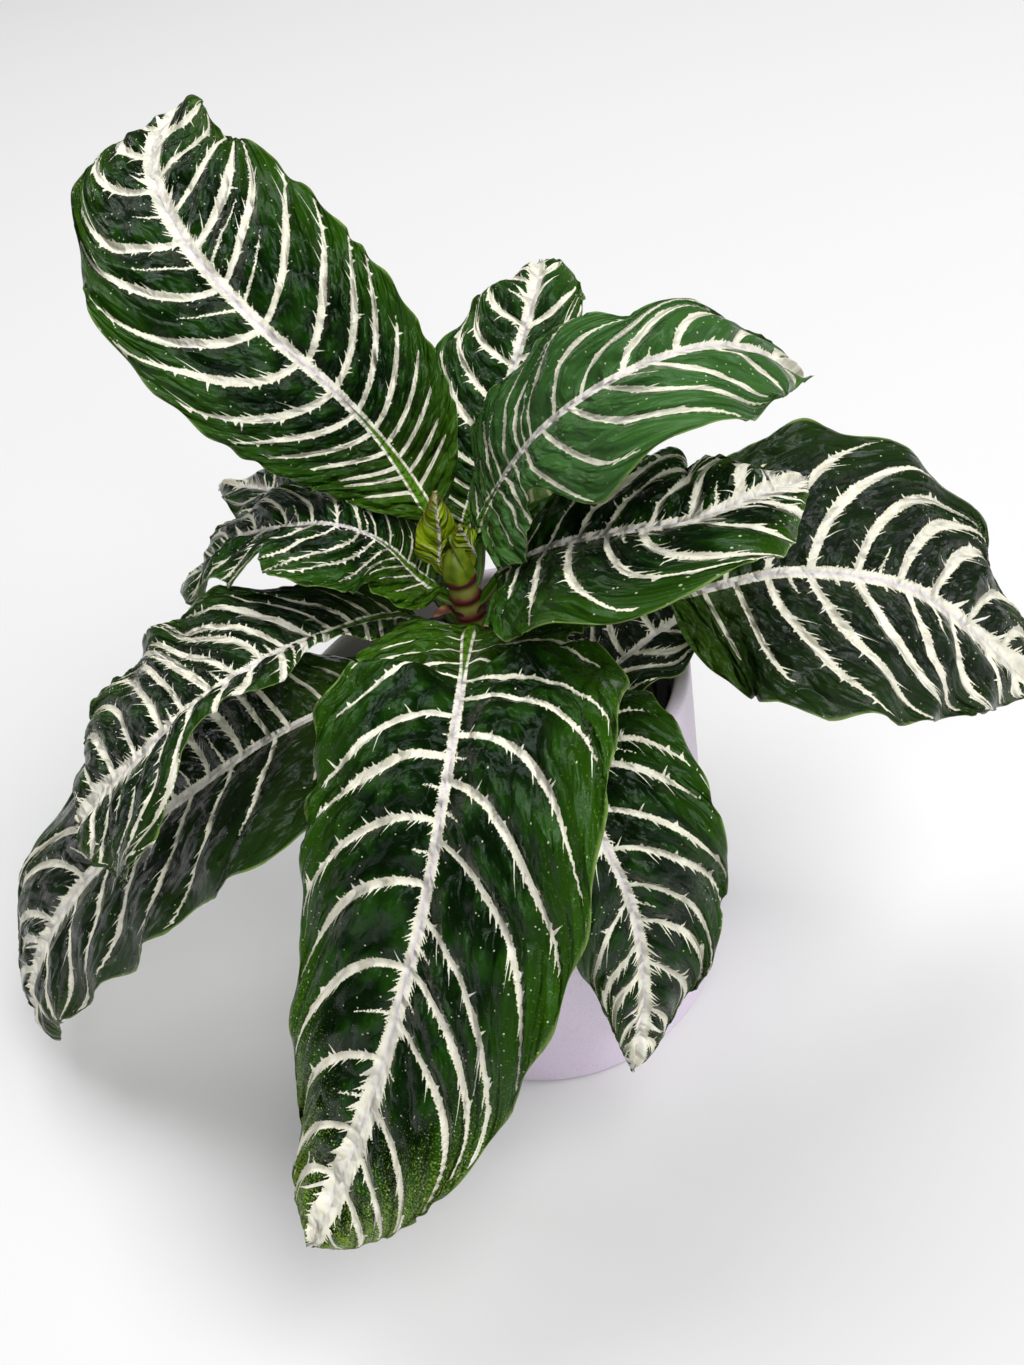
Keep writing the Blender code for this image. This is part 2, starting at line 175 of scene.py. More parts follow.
def turned_mesh(name, profile_mm, steps):
    """A closed mesh from (radius, height) points that start and end on the axis."""
    shape = bmesh.new()
    corners = [shape.verts.new((r * MM, 0, z * MM)) for r, z in profile_mm]
    edges = [shape.edges.new(pair) for pair in zip(corners, corners[1:])]
    bmesh.ops.spin(
        shape, geom=corners + edges, cent=(0, 0, 0), axis=(0, 0, 1),
        angle=2 * math.pi, steps=steps, use_merge=True,
    )
    bmesh.ops.remove_doubles(shape, verts=shape.verts, dist=0.01 * MM)
    bmesh.ops.recalc_face_normals(shape, faces=shape.faces)
    mesh = mesh_from(shape, name)
    mesh.shade_smooth()
    return mesh


def arc_points(middle, radius, start, end, steps=10):
    """Points of an arc about (radius, height), from the start to the end angle, degrees."""
    angles = np.radians(np.linspace(start, end, steps + 1))
    return [
        (middle[0] + radius * math.cos(a), middle[1] + radius * math.sin(a)) for a in angles
    ]


# %% [markdown]
# The outer pot is thrown stoneware with a satin lilac glaze: a plain tapered wall, a
# softly rounded rim and a small radius at the foot. Thrown walls are never quite true, so
# the mesh is turned finely and then pushed in and out by a fraction of a millimetre.

# %% Ceramic pot
POT_HEIGHT = 150.0
POT_RIM_RADIUS = 75.0
POT_FOOT_RADIUS = 63.0
POT_WALL = 5.5
POT_FLOOR = 8.0
POT_FOOT_ROUND = 3.0
POT_STEPS = 128
POT_UNEVEN = 0.12
POT_UNEVEN_SIZE = 45.0
WALL_RINGS = 24


def wall_points(start, end, rings=WALL_RINGS):
    """Points along a straight wall, so that noise has something to move."""
    return [tuple(p) for p in np.linspace(start, end, rings + 1)[1:-1]]


def make_ceramic_pot():
    half_wall = POT_WALL / 2
    small = POT_FOOT_ROUND
    slope = (POT_RIM_RADIUS - POT_FOOT_RADIUS) / POT_HEIGHT
    inner_foot = POT_FOOT_RADIUS + slope * POT_FLOOR - POT_WALL
    inside = arc_points((inner_foot - small, POT_FLOOR + small), small, -90, 0)
    rim = arc_points((POT_RIM_RADIUS - half_wall, POT_HEIGHT - half_wall), half_wall, 180, 0)
    foot = arc_points((POT_FOOT_RADIUS - small, small), small, 0, -90)
    profile = [(0, POT_FLOOR), *inside, *wall_points(inside[-1], rim[0]), *rim]
    profile += [*wall_points(rim[-1], foot[0]), *foot, (0, 0)]
    mesh = turned_mesh("ceramic_pot", profile, POT_STEPS)
    for vertex in mesh.vertices:
        radius = math.hypot(vertex.co.x, vertex.co.y)
        if vertex.co.z < POT_FOOT_ROUND * MM or radius < inner_foot / 2 * MM:
            continue
        push = POT_UNEVEN * MM * perlin.noise(vertex.co / (POT_UNEVEN_SIZE * MM))
        vertex.co.x *= 1 + push / radius
        vertex.co.y *= 1 + push / radius
    return place_piece("ceramic_pot", mesh, "lilac_ceramic", "pot")


ceramic_pot = make_ceramic_pot()
print("ceramic pot faces:", len(ceramic_pot.data.polygons))

# %% [markdown]
# The glaze is satin lilac, sprayed on and fired. It scatters light in its surface, so it is
# fairly rough, with a faint coat of gloss over it. The grain in it is a little under a
# millimetre wide, and the tint drifts over a few centimetres, where the glaze ran thicker.
# Both are noise textures in the pot's own coordinates.

# %% Satin lilac glaze
def make_glaze():
    made, tree, surface = new_surface("satin lilac stoneware glaze")
    place = add_node(tree, "TexCoord").outputs["Object"]
    drift = add_node(tree, "TexNoise", {"Vector": place, "Scale": 22.0, "Detail": 3.0})
    grain = add_node(tree, "TexNoise", {"Vector": place, "Scale": 1400.0, "Detail": 2.0})
    tint = add_node(tree, "ValToRGB", [drift], [(0.3, "e8d9ef"), (0.7, "efe3f5")])
    speck = add_node(tree, "ValToRGB", [grain], [(0.32, "eeebf0"), (0.42, "ffffff")])
    colour = add_node(
        tree, "Mix", {"Factor": 1.0, 6: tint, 7: speck}, data_type="RGBA", blend_type="MULTIPLY"
    )
    rough = add_node(tree, "MapRange", {"Value": drift, "To Min": 0.42, "To Max": 0.54})
    bump = add_node(tree, "Bump", {"Height": grain, "Strength": 0.25, "Distance": 0.08 * MM})
    fill_inputs(tree, surface, {
        "Base Color": colour, "Roughness": rough, "Normal": bump, "IOR": 1.5,
        "Coat Weight": 0.12, "Coat Roughness": 0.25,
    })
    return made


glaze = make_glaze()
ceramic_pot.data.materials.append(glaze)
print("glaze nodes:", len(glaze.node_tree.nodes))

# %% [markdown]
# The plant still stands in the thin pot that it was raised in. Such pots are vacuum formed
# or moulded in black polypropylene, with a rolled lip for stiffness and holes in the floor.
# Only its lip and dark inside show, and its holes are cut with a Boolean as in the CAD.

# %% Nursery pot
GAP = 0.3
NURSERY_HEIGHT = 132.0
NURSERY_RIM_RADIUS = 66.0
NURSERY_BASE_RADIUS = 54.0
NURSERY_WALL = 1.4
NURSERY_LIP = 1.2
NURSERY_LIP_HEIGHT = 9.0
DRAIN_HOLES = 6
DRAIN_HOLE_RADIUS = 5.0
DRAIN_RING_RADIUS = 32.0
SHARP_ANGLE = math.radians(35)


def make_nursery_pot():
    low = POT_FLOOR + GAP
    high = low + NURSERY_HEIGHT
    lip_low = high - NURSERY_LIP_HEIGHT
    below_lip = NURSERY_RIM_RADIUS - NURSERY_LIP - NURSERY_WALL
    lip_round = NURSERY_LIP / 2
    rim = arc_points((NURSERY_RIM_RADIUS - lip_round, high - lip_round), lip_round, 90, 0, 5)
    profile = [
        (0, low + NURSERY_WALL), (NURSERY_BASE_RADIUS - NURSERY_WALL, low + NURSERY_WALL),
        (below_lip - NURSERY_WALL, high - lip_round), (below_lip - NURSERY_WALL / 2, high),
        *rim, (NURSERY_RIM_RADIUS, lip_low), (below_lip, lip_low),
        (NURSERY_BASE_RADIUS, low), (0, low),
    ]
    mesh = turned_mesh("black_nursery_pot", profile, POT_STEPS)
    pot = place_piece("black_nursery_pot", mesh, "black_plastic", "nursery_pot")
    drill = bmesh.new()
    for i in range(DRAIN_HOLES):
        angle = 2 * math.pi * i / DRAIN_HOLES
        at = Vector((math.cos(angle), math.sin(angle), 0)) * DRAIN_RING_RADIUS * MM
        at.z = low * MM
        bmesh.ops.create_cone(
            drill, cap_ends=True, segments=32, radius1=DRAIN_HOLE_RADIUS * MM,
            radius2=DRAIN_HOLE_RADIUS * MM, depth=4 * NURSERY_WALL * MM,
            matrix=Matrix.Translation(at),
        )
    drill_object = bpy.data.objects.new("drill", mesh_from(drill, "drill"))
    bpy.context.scene.collection.objects.link(drill_object)
    cut = pot.modifiers.new("Drain holes", "BOOLEAN")
    cut.operation = "DIFFERENCE"
    cut.solver = "EXACT"
    cut.object = drill_object
    bpy.context.view_layer.update()
    solved = pot.evaluated_get(bpy.context.evaluated_depsgraph_get())
    holed = bpy.data.meshes.new_from_object(solved)
    pot.modifiers.clear()
    pot.data = holed
    bpy.data.objects.remove(drill_object)
    holed.set_sharp_from_angle(angle=SHARP_ANGLE)
    return pot


nursery_pot = make_nursery_pot()
print("nursery pot faces:", len(nursery_pot.data.polygons))

# %% [markdown]
# Moulded black polypropylene is charcoal rather than black, with a low satin gloss that
# handling and soil have scuffed. Scuffs about 5 mm across make it paler and rougher.

# %% Black polypropylene
nursery_pot.data.materials.clear()
nursery_pot.data.materials.append(grained_surface(
    "black moulded polypropylene", "TexNoise", {"Scale": 180.0, "Detail": 6.0, "Roughness": 0.7},
    [(0.4, "121214"), (0.75, "2b2a2b")], (0.35, 0.6), (0.3, 0.1), IOR=1.49,
))
print("nursery pot material:", nursery_pot.data.materials[0].name)

# %% [markdown]
# Potting soil is peat with bark chips and white perlite. From a step away it reads as a
# dark crumbly crown, so the crown is a fine grid that fractal noise roughens, and the
# chips and perlite are small lumps half sunk into it. Particles would be lost in an
# export, so each lump is real mesh, all joined in one piece.

# %% Soil
SOIL_TOP = 128.0
SOIL_CROWN = 5.0
SOIL_SINK = 0.6
SOIL_RINGS = 70
SOIL_STEPS = 180
SOIL_ROUGH = 1.1
SOIL_LUMP_SIZE = 7.0
CRUMBS = 420
CRUMBS_OFF_EDGE = 3.0
PERLITE_SHARE = 0.16
PERLITE_RADII = (0.6, 1.3)
BARK_RADII = (0.8, 2.4)
CRUMB_DENTS = 0.25
SEED = 7


def soil_radius(height):
    """The nursery pot's inner radius at this height, less the clearance."""
    low = POT_FLOOR + GAP
    base = NURSERY_BASE_RADIUS - NURSERY_WALL
    top = NURSERY_RIM_RADIUS - NURSERY_LIP - 2 * NURSERY_WALL
    return base + (top - base) * (height - low) / NURSERY_HEIGHT - 2 * GAP


def soil_height(x, y):
    """The height of the soil's crown at a place, all in millimetres."""
    share = math.hypot(x, y) / soil_radius(SOIL_TOP)
    rough = perlin.fractal(Vector((x, y, 3.0)) / SOIL_LUMP_SIZE, 0.8, 2.1, 5)
    return SOIL_TOP + SOIL_CROWN * (1 - share**2) - SOIL_SINK + SOIL_ROUGH * rough


def make_soil():
    low = POT_FLOOR + NURSERY_WALL + 2 * GAP
    edge = soil_radius(SOIL_TOP)
    profile = [(edge * i / SOIL_RINGS, SOIL_TOP) for i in range(SOIL_RINGS + 1)]
    profile += [(soil_radius(low), low), (0, low)]
    mesh = turned_mesh("potting_soil", profile, SOIL_STEPS)
    for vertex in mesh.vertices:
        if vertex.co.z > (SOIL_TOP - 1) * MM:
            vertex.co.z = soil_height(vertex.co.x / MM, vertex.co.y / MM) * MM
    return place_piece("potting_soil", mesh, "potting_soil", "soil")


def make_crumbs(draw):
    """Bark chips and perlite: small dented spheres, perlite marked by its material."""
    shape = bmesh.new()
    for _ in range(CRUMBS):
        reach = (soil_radius(SOIL_TOP) - CRUMBS_OFF_EDGE) * math.sqrt(draw.random())
        angle = 2 * math.pi * draw.random()
        x, y = reach * math.cos(angle), reach * math.sin(angle)
        white = draw.random() < PERLITE_SHARE
        size = draw.uniform(*PERLITE_RADII) if white else draw.uniform(*BARK_RADII)
        stretch = Matrix.Diagonal((1, draw.uniform(0.4, 0.9), draw.uniform(0.4, 0.8), 1))
        spin = Matrix.Rotation(2 * math.pi * draw.random(), 4, draw.normal(size=3))
        at = Matrix.Translation(Vector((x, y, soil_height(x, y) + size * 0.2)) * MM)
        made = bmesh.ops.create_icosphere(
            shape, subdivisions=1, radius=size * MM, matrix=at @ spin @ stretch
        )
        for vertex in made["verts"]:
            dent = perlin.noise_vector(vertex.co / (0.8 * MM))
            vertex.co += dent * size * CRUMB_DENTS * MM
        for face in {f for v in made["verts"] for f in v.link_faces}:
            face.material_index = int(white)
    return place_piece("soil_crumbs", mesh_from(shape, "soil_crumbs"), "potting_soil")


soil = make_soil()
# Blender's vector noise is different in every run until it gets a seed of its own.
perlin.seed_set(SEED)
crumbs = make_crumbs(np.random.default_rng(SEED))
print("soil faces:", len(soil.data.polygons), "crumb faces:", len(crumbs.data.polygons))

# %% [markdown]
# Damp peat and bark are nearly black and quite dull, so they only show as a rough dark
# grain, about 2 mm wide. Perlite is volcanic glass that was puffed up by heat: it is a dull
# white, and full of pores. Real pores are finer than the picture can show, so they are
# drawn 0.4 mm wide.

# %% Peat, bark and perlite
peat = grained_surface(
    "damp peat and bark", "TexNoise", {"Scale": 420.0, "Detail": 8.0, "Roughness": 0.7},
    [(0.35, "17100b"), (0.55, "33241a"), (0.75, "5a4330")], 0.93, (0.8, 1.2),
)
perlite = grained_surface(
    "expanded perlite", "TexVoronoi", {"Scale": 2500.0},
    [(0.1, "b9b2a4"), (0.5, "efece4")], 0.85, (0.6, 0.3),
)
soil.data.materials.append(peat)
crumbs.data.materials.append(peat)
crumbs.data.materials.append(perlite)
print("soil materials:", [m.name for m in crumbs.data.materials])

# %% [markdown]
# Each leaf of this plant is a stalk that runs into one broad blade. The CAD source lofts it
# from the points that the midrib passes, its width and the way it is banked, and this
# script repeats those numbers, because it may read nothing but the frame. The loft here is
# much finer, which leaves room for sunken veins and a crimped margin.
# A leaf could be drawn by hand or grown with geometry nodes, but a formula keeps it on the
# CAD solid and lets the same numbers drive both its form and its stripes.

# %% The leaves of the CAD model
STEM_X = 4.0
STEM_RADIUS = 5.4
STEM_FOOT = 88.0
STEM_TOP = 204.0
STALK_RADIUS = 2.6
STALK_RISE = 0.5
RIB_RADIUS = 0.7
RIB_TAPER = 0.7
BLADE_FLUSH_WITH_RIB = 0.125
TIP_HALF_WIDTH = 0.9
BLADE_FOLD = 14.0
FOLD_KEPT_AT_TIP = 0.4
BLADE_DROOP = 0.12
WAVE_HEIGHT = 2.5
WAVE_SHIFT = 0.22
WAVE_FULL_WIDTH = 15.0
WAVE_POWER = 1.6

# As in the CAD source: where the stalk leaves the stem (height, and bearing in degrees),
# the points that the midrib passes in millimetres, the width, the stalk's length, and the
# bank at the base and tip in degrees. "right" and "left" scale the halves, "base" and
# "tip" say how bluntly the blade begins and ends, and "waves" and "phase" place the waves
# of its margin. "dents" are where a margin is folded under, or bulges where the depth is
# below 0: the half, the place along the blade, the spread and the depth.
# The looks need more. "veins" lists where the side veins leave the midrib, in the left half
# and in the right, in percent of the blade, or is only their number. "lean" says how far
# the veins of each half bow back towards the stalk before they sweep forward. "creases"
# are low folds across the blade: the place, the spread and the height in millimetres.
# "age" runs from 0, fresh green, to 1, old and dark, and "mottled" from 0 to 1 for how
# yellow the tip is. "green_rib" is the share of the midrib that has a green core, and
# "stripe" scales the width of the stripes.
LEFT, RIGHT = -1, 1
LEAVES = {
    "leaf_front": dict(
        height=176, bearing=-95, width=98, stalk=6, bank=(0, -3), right=0.94, left=1.12,
        base=0.36, tip=0.62, waves=4, phase=0.1,
        dents=((LEFT, 0.14, 0.04, 0.3), (RIGHT, 0.16, 0.04, 0.25)),
        creases=((0.165, 0.02, 5.0),),
        age=0.45, green_rib=0.26, stripe=1.05, mottled=1.0, lean=(0.12, 0.5),
        veins=((5, 9, 13, 18, 22, 28, 34, 41, 51, 58, 65, 77, 84, 90),
               (5, 9, 13, 17, 25, 31, 39, 47, 58, 71, 82, 90)),
        midrib=((1, -18, 185), (-6, -62, 195), (-17, -91, 186), (-32, -107, 160),
                (-50, -119, 130), (-73, -131, 95), (-100, -141, 60)),
    ),
    "leaf_back_left": dict(
        height=194, bearing=112, width=88, stalk=22, bank=(5, 22), right=1.0, left=0.94,
        base=0.6, tip=0.6, waves=5, phase=0.4,
        age=0.35, green_rib=0.34, stripe=1.2, lean=(0.35, 0.2),
        veins=((5, 8, 10, 13, 17, 21, 26, 33, 41, 51, 63, 76, 84, 91),
               (5, 8, 11, 14, 17, 21, 26, 32, 41, 51, 60, 69, 78, 88)),
        midrib=((-1, 23, 214), (-9, 36, 236), (-20, 44, 256), (-37, 58, 278), (-52, 83, 296),
                (-60, 109, 309), (-61, 130, 319), (-54, 145, 325), (-42, 158, 326)),
    ),
    "leaf_back": dict(
        height=172, bearing=80, width=72, stalk=34, bank=(0, 0), right=0.8, left=0.92,
        base=0.55, tip=0.75, waves=4, phase=0.2,
        age=0.3, green_rib=0.3, stripe=0.9,
        veins=9,
        midrib=((8, 30, 189), (22, 50, 209), (42, 68, 231), (58, 88, 249), (65, 110, 251)),
    ),
    "leaf_right_upper": dict(
        height=189, bearing=40, width=80, stalk=16, bank=(-12, -20), left=0.68, right=1.02,
        base=0.55, tip=0.95, waves=4, phase=0.7, dents=((RIGHT, 0.32, 0.1, 0.5),),
        age=0.05, green_rib=0.22, stripe=0.75, lean=(0.1, -0.6),
        veins=((4, 7, 10, 13, 16, 20, 25, 30, 38, 45, 54, 64, 77, 88),
               (5, 9, 13, 17, 21, 27, 34, 42, 50, 59, 71, 86)),
        midrib=((16, 12, 208), (30, 2, 232), (49, -16, 256), (76, -27, 270), (104, -17, 262),
                (129, -1, 235)),
    ),
    "leaf_right": dict(
        height=184, bearing=-8, width=84, stalk=12, bank=(-3, -5), left=0.82, right=1.0,
        base=0.58, tip=0.85, waves=4, phase=0.3, dents=((RIGHT, 0.92, 0.14, 0.35),),
        age=0.5, green_rib=0.0, stripe=0.95, lean=(0.1, -0.35),
        veins=((6, 12, 22, 33, 42, 55, 65, 78, 88),
               (6, 12, 21, 31, 43, 53, 65, 78, 88)),
        midrib=((19, -3, 197), (34, -18, 211), (54, -40, 224), (74, -54, 230), (94, -52, 230),
                (116, -37, 222)),
    ),
    "leaf_far_right": dict(
        height=163, bearing=-14, width=112, stalk=66, bank=(-25, -28), right=0.94,
        left=0.98, base=0.5, tip=0.88, waves=5, phase=0.0,
        age=0.9, green_rib=0.0, stripe=1.35,
        veins=((5, 12, 21, 30, 40, 50, 60, 72, 84),
               (7, 14, 21, 30, 40, 52, 66, 80, 90)),
        midrib=((46, -13, 174), (92, -25, 182), (111, -32, 184), (141, -36, 172),
                (160, -35, 152), (190, -36, 108)),
    ),
    "leaf_left": dict(
        height=168, bearing=160, width=98, stalk=18, bank=(-4, 16), right=0.94, left=0.93,
        base=0.68, tip=0.5, waves=4, phase=0.6,
        dents=((LEFT, 0.28, 0.14, 0.78), (LEFT, 0.5, 0.13, 0.65)),
        age=0.7, green_rib=0.42, stripe=1.1,
        veins=((5, 9, 13, 18, 23, 28, 33, 39, 44, 51, 58, 66, 75, 83, 91),
               (5, 10, 15, 20, 25, 31, 36, 42, 48, 55, 62, 73, 82, 90)),
        midrib=((-20, 12, 180), (-37, 4, 188), (-68, -14, 196), (-95, -21, 190),
                (-120, -14, 171), (-138, -6, 156), (-153, -2, 141)),
    ),
    "leaf_left_lower": dict(
        height=153, bearing=178, width=88, stalk=25, bank=(5, 32), left=1.14, base=0.48, tip=0.58,
        waves=5, phase=0.2, dents=((LEFT, 0.2, 0.08, -0.25),),
        age=0.85, green_rib=0.15, stripe=1.25,
        veins=((6, 12, 19, 27, 36, 46, 57, 68, 80, 90),
               (6, 11, 17, 20, 25, 32, 40, 48, 57, 65, 76, 81, 87, 93)),
        midrib=((-27, 2, 160), (-61, -12, 166), (-91, -8, 154), (-158, 17, 106),
                (-196, 25, 70), (-214, 24, 42), (-214, 17, 18)),
    ),
    "leaf_front_right": dict(
        height=157, bearing=-72, width=76, stalk=22, bank=(0, 0), left=0.95, right=0.73,
        base=0.5, tip=0.85, waves=4, phase=0.5,
        age=0.55, green_rib=0.2, stripe=0.85,
        veins=((6, 11, 17, 23, 29, 36, 43, 51, 60, 71, 83, 91),
               (6, 13, 21, 30, 42, 55, 66, 73, 84, 91)),
        midrib=((13, -28, 166), (22, -78, 166), (25, -96, 150), (28, -98, 128), (27, -98, 98),
                (22, -98, 70), (14, -99, 46)),
    ),
    "leaf_left_small": dict(
        height=186, bearing=160, width=66, stalk=6, bank=(-14, 26), right=0.66, base=0.42,
        tip=0.7, waves=4, phase=0.8, dents=((LEFT, 0.43, 0.05, 0.4), (LEFT, 0.6, 0.08, 0.25)),
        age=0.42, green_rib=0.3, stripe=0.48,
        veins=((4, 7, 10, 13, 16, 20, 24, 30, 36, 44, 54, 66, 80),
               (4, 7, 10, 13, 16, 20, 24, 30, 37, 46, 58, 70, 84)),
        midrib=((-10, 6, 197), (-18, 14, 210), (-32, 18, 220), (-52, 33, 216), (-72, 50, 206),
                (-100, 72, 178)),
    ),
    "leaf_back_low": dict(
        height=162, bearing=120, width=52, stalk=25, bank=(10, 10), base=0.5, tip=1.0,
        waves=4, phase=0.1,
        age=0.6, green_rib=0.0, stripe=0.5,
        veins=7,
        midrib=((-14, 42, 182), (-50, 94, 190), (-66, 124, 184), (-88, 160, 170)),
    ),
    "leaf_right_low": dict(
        height=146, bearing=-45, width=66, stalk=20, bank=(0, 0), right=0.74, base=0.5, tip=0.7,
        waves=4, phase=0.4,
        age=0.95, green_rib=0.6, stripe=0.8,
        veins=7,
        midrib=((19, -20, 154), (38, -25, 158), (67, -14, 163), (90, -3, 158)),
    ),
    "leaf_small_front": dict(
        height=168, bearing=-40, width=40, stalk=8, bank=(0, 0), base=0.5, tip=0.7,
        waves=3, phase=0.3,
        age=0.8, green_rib=0.2, stripe=0.6,
        veins=8,
        midrib=((12, -8, 176), (25, -24, 180), (38, -31, 172)),
    ),
    "leaf_small_right": dict(
        height=179, bearing=22, width=50, stalk=13, bank=(60, 160), base=0.5, tip=0.7,
        waves=3, phase=0.6,
        age=0.2, green_rib=0.3, stripe=0.55,
        veins=8,
        midrib=((17, 7, 188), (36, 14, 197), (57, 22, 202)),
    ),
}

# Young leaves at the tip of the stem, still folded along the midrib by this many degrees,
# with the bearing that their upper face turns to
YOUNG_LEAVES = {
    "young_leaf_tall": dict(
        height=199, bearing=175, facing=-80, width=15, stalk=6, bank=(0, 0), fold=40,
        base=0.3, tip=0.9, waves=2, phase=0.0,
        age=0.0, green_rib=0.0, stripe=0.3, mottled=1.0,
        veins=4,
        midrib=((0, 0, 210), (2, 0, 222), (4, -1, 233)),
    ),
    "young_leaf_short": dict(
        height=199, bearing=0, facing=-60, width=11, stalk=7, bank=(0, 0), fold=45,
        base=0.4, tip=0.9, waves=2, phase=0.5,
        age=0.0, green_rib=0.0, stripe=0.25,
        veins=3,
        midrib=((10.0, -1.5, 208), (8.5, -2.5, 219)),
    ),
}
print("leaves:", len(LEAVES), "and young leaves:", len(YOUNG_LEAVES))

# %% [markdown]
# The midrib is a Catmull-Rom curve, which passes through each of its points. It is read at
# even steps and then smoothed a little, because its bends change abruptly at the points
# and a glossy blade would show that as creases.

# %% The line of a leaf
SPLINE_STEPS = 24
STEP_MM = 1.0
SMOOTHING_MM = 5.0
STALK_START_IN_STEM = 1.5


def smooth_curve(points):
    """Close points along a smooth curve through the given points, and their distance."""
    given = np.array(points, float)
    given = np.vstack([2 * given[0] - given[1], given, 2 * given[-1] - given[-2]])
    fine = []
    for before, start, end, after in zip(given, given[1:], given[2:], given[3:]):
        for s in np.linspace(0, 1, SPLINE_STEPS, endpoint=False):
            bend = 2 * before - 5 * start + 4 * end - after
            twist = 3 * start - 3 * end + after - before
            fine.append(start + ((end - before) * s + bend * s**2 + twist * s**3) / 2)
    fine.append(given[-2])
    fine = np.array(fine)
    steps = np.linalg.norm(np.diff(fine, axis=0), axis=1)
    return fine, np.concatenate([[0], np.cumsum(steps)])


def smoothed(rows, step_mm):
    """The rows averaged with their neighbours over a few millimetres, ends kept."""
    reach = max(1, int(2 * SMOOTHING_MM / step_mm))
    weights = np.exp(-0.5 * (np.arange(-reach, reach + 1) * step_mm / SMOOTHING_MM) ** 2)
    weights /= weights.sum()
    padded = np.concatenate([
        2 * rows[0] - rows[reach:0:-1], rows, 2 * rows[-1] - rows[-2:-reach - 2:-1],
    ])
    return np.stack([np.convolve(axis, weights, "valid") for axis in padded.T], axis=1)


def leaf_line(leaf, step_mm):
    """Place on the blade (0 to 1, below 0 on the stalk), share of the whole length, point
    and direction for each section, and the blade's length in millimetres."""
    bearing = math.radians(leaf["bearing"])
    start = np.array([STEM_X, 0.0, leaf["height"]])
    out = np.array([math.cos(bearing), math.sin(bearing), STALK_RISE])
    curve, along = smooth_curve(
        [start, start + out * (STEM_RADIUS + STALK_RADIUS)] + list(leaf["midrib"])
    )
    count = int(along[-1] / step_mm)
    shares = np.linspace(0, 1, count + 1)
    line = np.stack([np.interp(shares * along[-1], along, axis) for axis in curve.T], axis=1)
    line = smoothed(line, along[-1] / count)
    ahead = np.gradient(line, axis=0)
    ahead /= np.linalg.norm(ahead, axis=1)[:, None]
    stalk = (leaf["stalk"] + STEM_RADIUS) / along[-1]
    kept = shares * along[-1] > STEM_RADIUS - STALK_START_IN_STEM
    places = (shares - stalk) / (1 - stalk)
    return places[kept], shares[kept], line[kept], ahead[kept], (1 - stalk) * along[-1]


print("sections of the front leaf:", len(leaf_line(LEAVES["leaf_front"], STEP_MM)[0]))

# %% [markdown]
# The stripes of this plant follow its side veins: close and short near the stalk, then
# wider apart and swept forward until they run along the margin. All of them together are
# written as one smooth field, the vein phase: it is a whole number on each side vein and
# grows from one vein to the next. A shader can then find the nearest vein, and how far
# away it is, at any point, and the stripe's edge stays sharp between the mesh's points.
# The same field sinks the veins into the blade and puffs it up between them. Each vein
# leaves the midrib where the leaf's list says and is swept forward by a share of the blade
# that grows along it, mostly near the margin, as if it turned there. On some leaves the
# veins first bow back towards the stalk, which the lean gives.

# %% The vein field
FIRST_VEIN = 0.03
VEINS_SPAN = 0.9
VEIN_CROWDING = 1.6
VEIN_JITTER = 0.15
BEFORE_FIRST = (-0.09, -0.045)
PAST_TIP = (1.0, 1.07, 1.14)
SWEEP_AT = (0.0, 0.1, 0.22, 0.4, 0.55, 1.0)
SWEEP = (0.05, 0.08, 0.15, 0.26, 0.31, 0.31)
SWEEP_LIMIT = 0.62
STRAIGHT_AT = (0.1, 0.3, 0.6, 0.85)
STRAIGHT = (0.7, 0.28, 0.3, 0.75)
USUAL_SLIMNESS = 0.2
UNEVEN_SWEEP = (0.85, 1.15)
MARGIN_TURN = 0.985
USUAL_LEAN = (0.15, 0.15)
FULL_LEAN_FROM = 0.15
PHASES_A_VEIN = 12


def half_width(leaf, t):
    """Half the blade's width at t, which runs from 0 at its base to 1 at its tip."""
    base, tip = leaf["base"], leaf["tip"]
    widest = base / (base + tip)
    most = widest**base * (1 - widest) ** tip
    t = np.clip(t, 0.0, 1.0)
    return leaf["width"] / 2 * t**base * (1 - t) ** tip / most


def kept_shares(leaf, t, u):
    """The share of the blade that is left at each place u across it, where a margin is
    folded under."""
    kept = np.ones(np.broadcast_shapes(t.shape, u.shape))
    for hand, place, spread, depth in leaf.get("dents", ()):
        dented = 1 - depth * np.exp(-(((t - place) / spread) ** 2))
        kept = np.where(u * hand > 0, kept * dented, kept)
    return kept


def vein_roots(leaf, hand, draw):
    """Where the side veins of a half (0 left, 1 right) leave the midrib, as shares of the
    blade, with a few more past both ends, so that the field covers all of the blade."""
    given = leaf["veins"]
    if isinstance(given, int):
        jitter = draw.uniform(-VEIN_JITTER, VEIN_JITTER, given)
        roots = FIRST_VEIN + VEINS_SPAN * ((np.arange(given) + 0.5 + jitter) / given)**VEIN_CROWDING
    else:
        roots = np.array(given[hand]) / 100
    return np.concatenate([roots[0] + np.array(BEFORE_FIRST), roots, PAST_TIP])


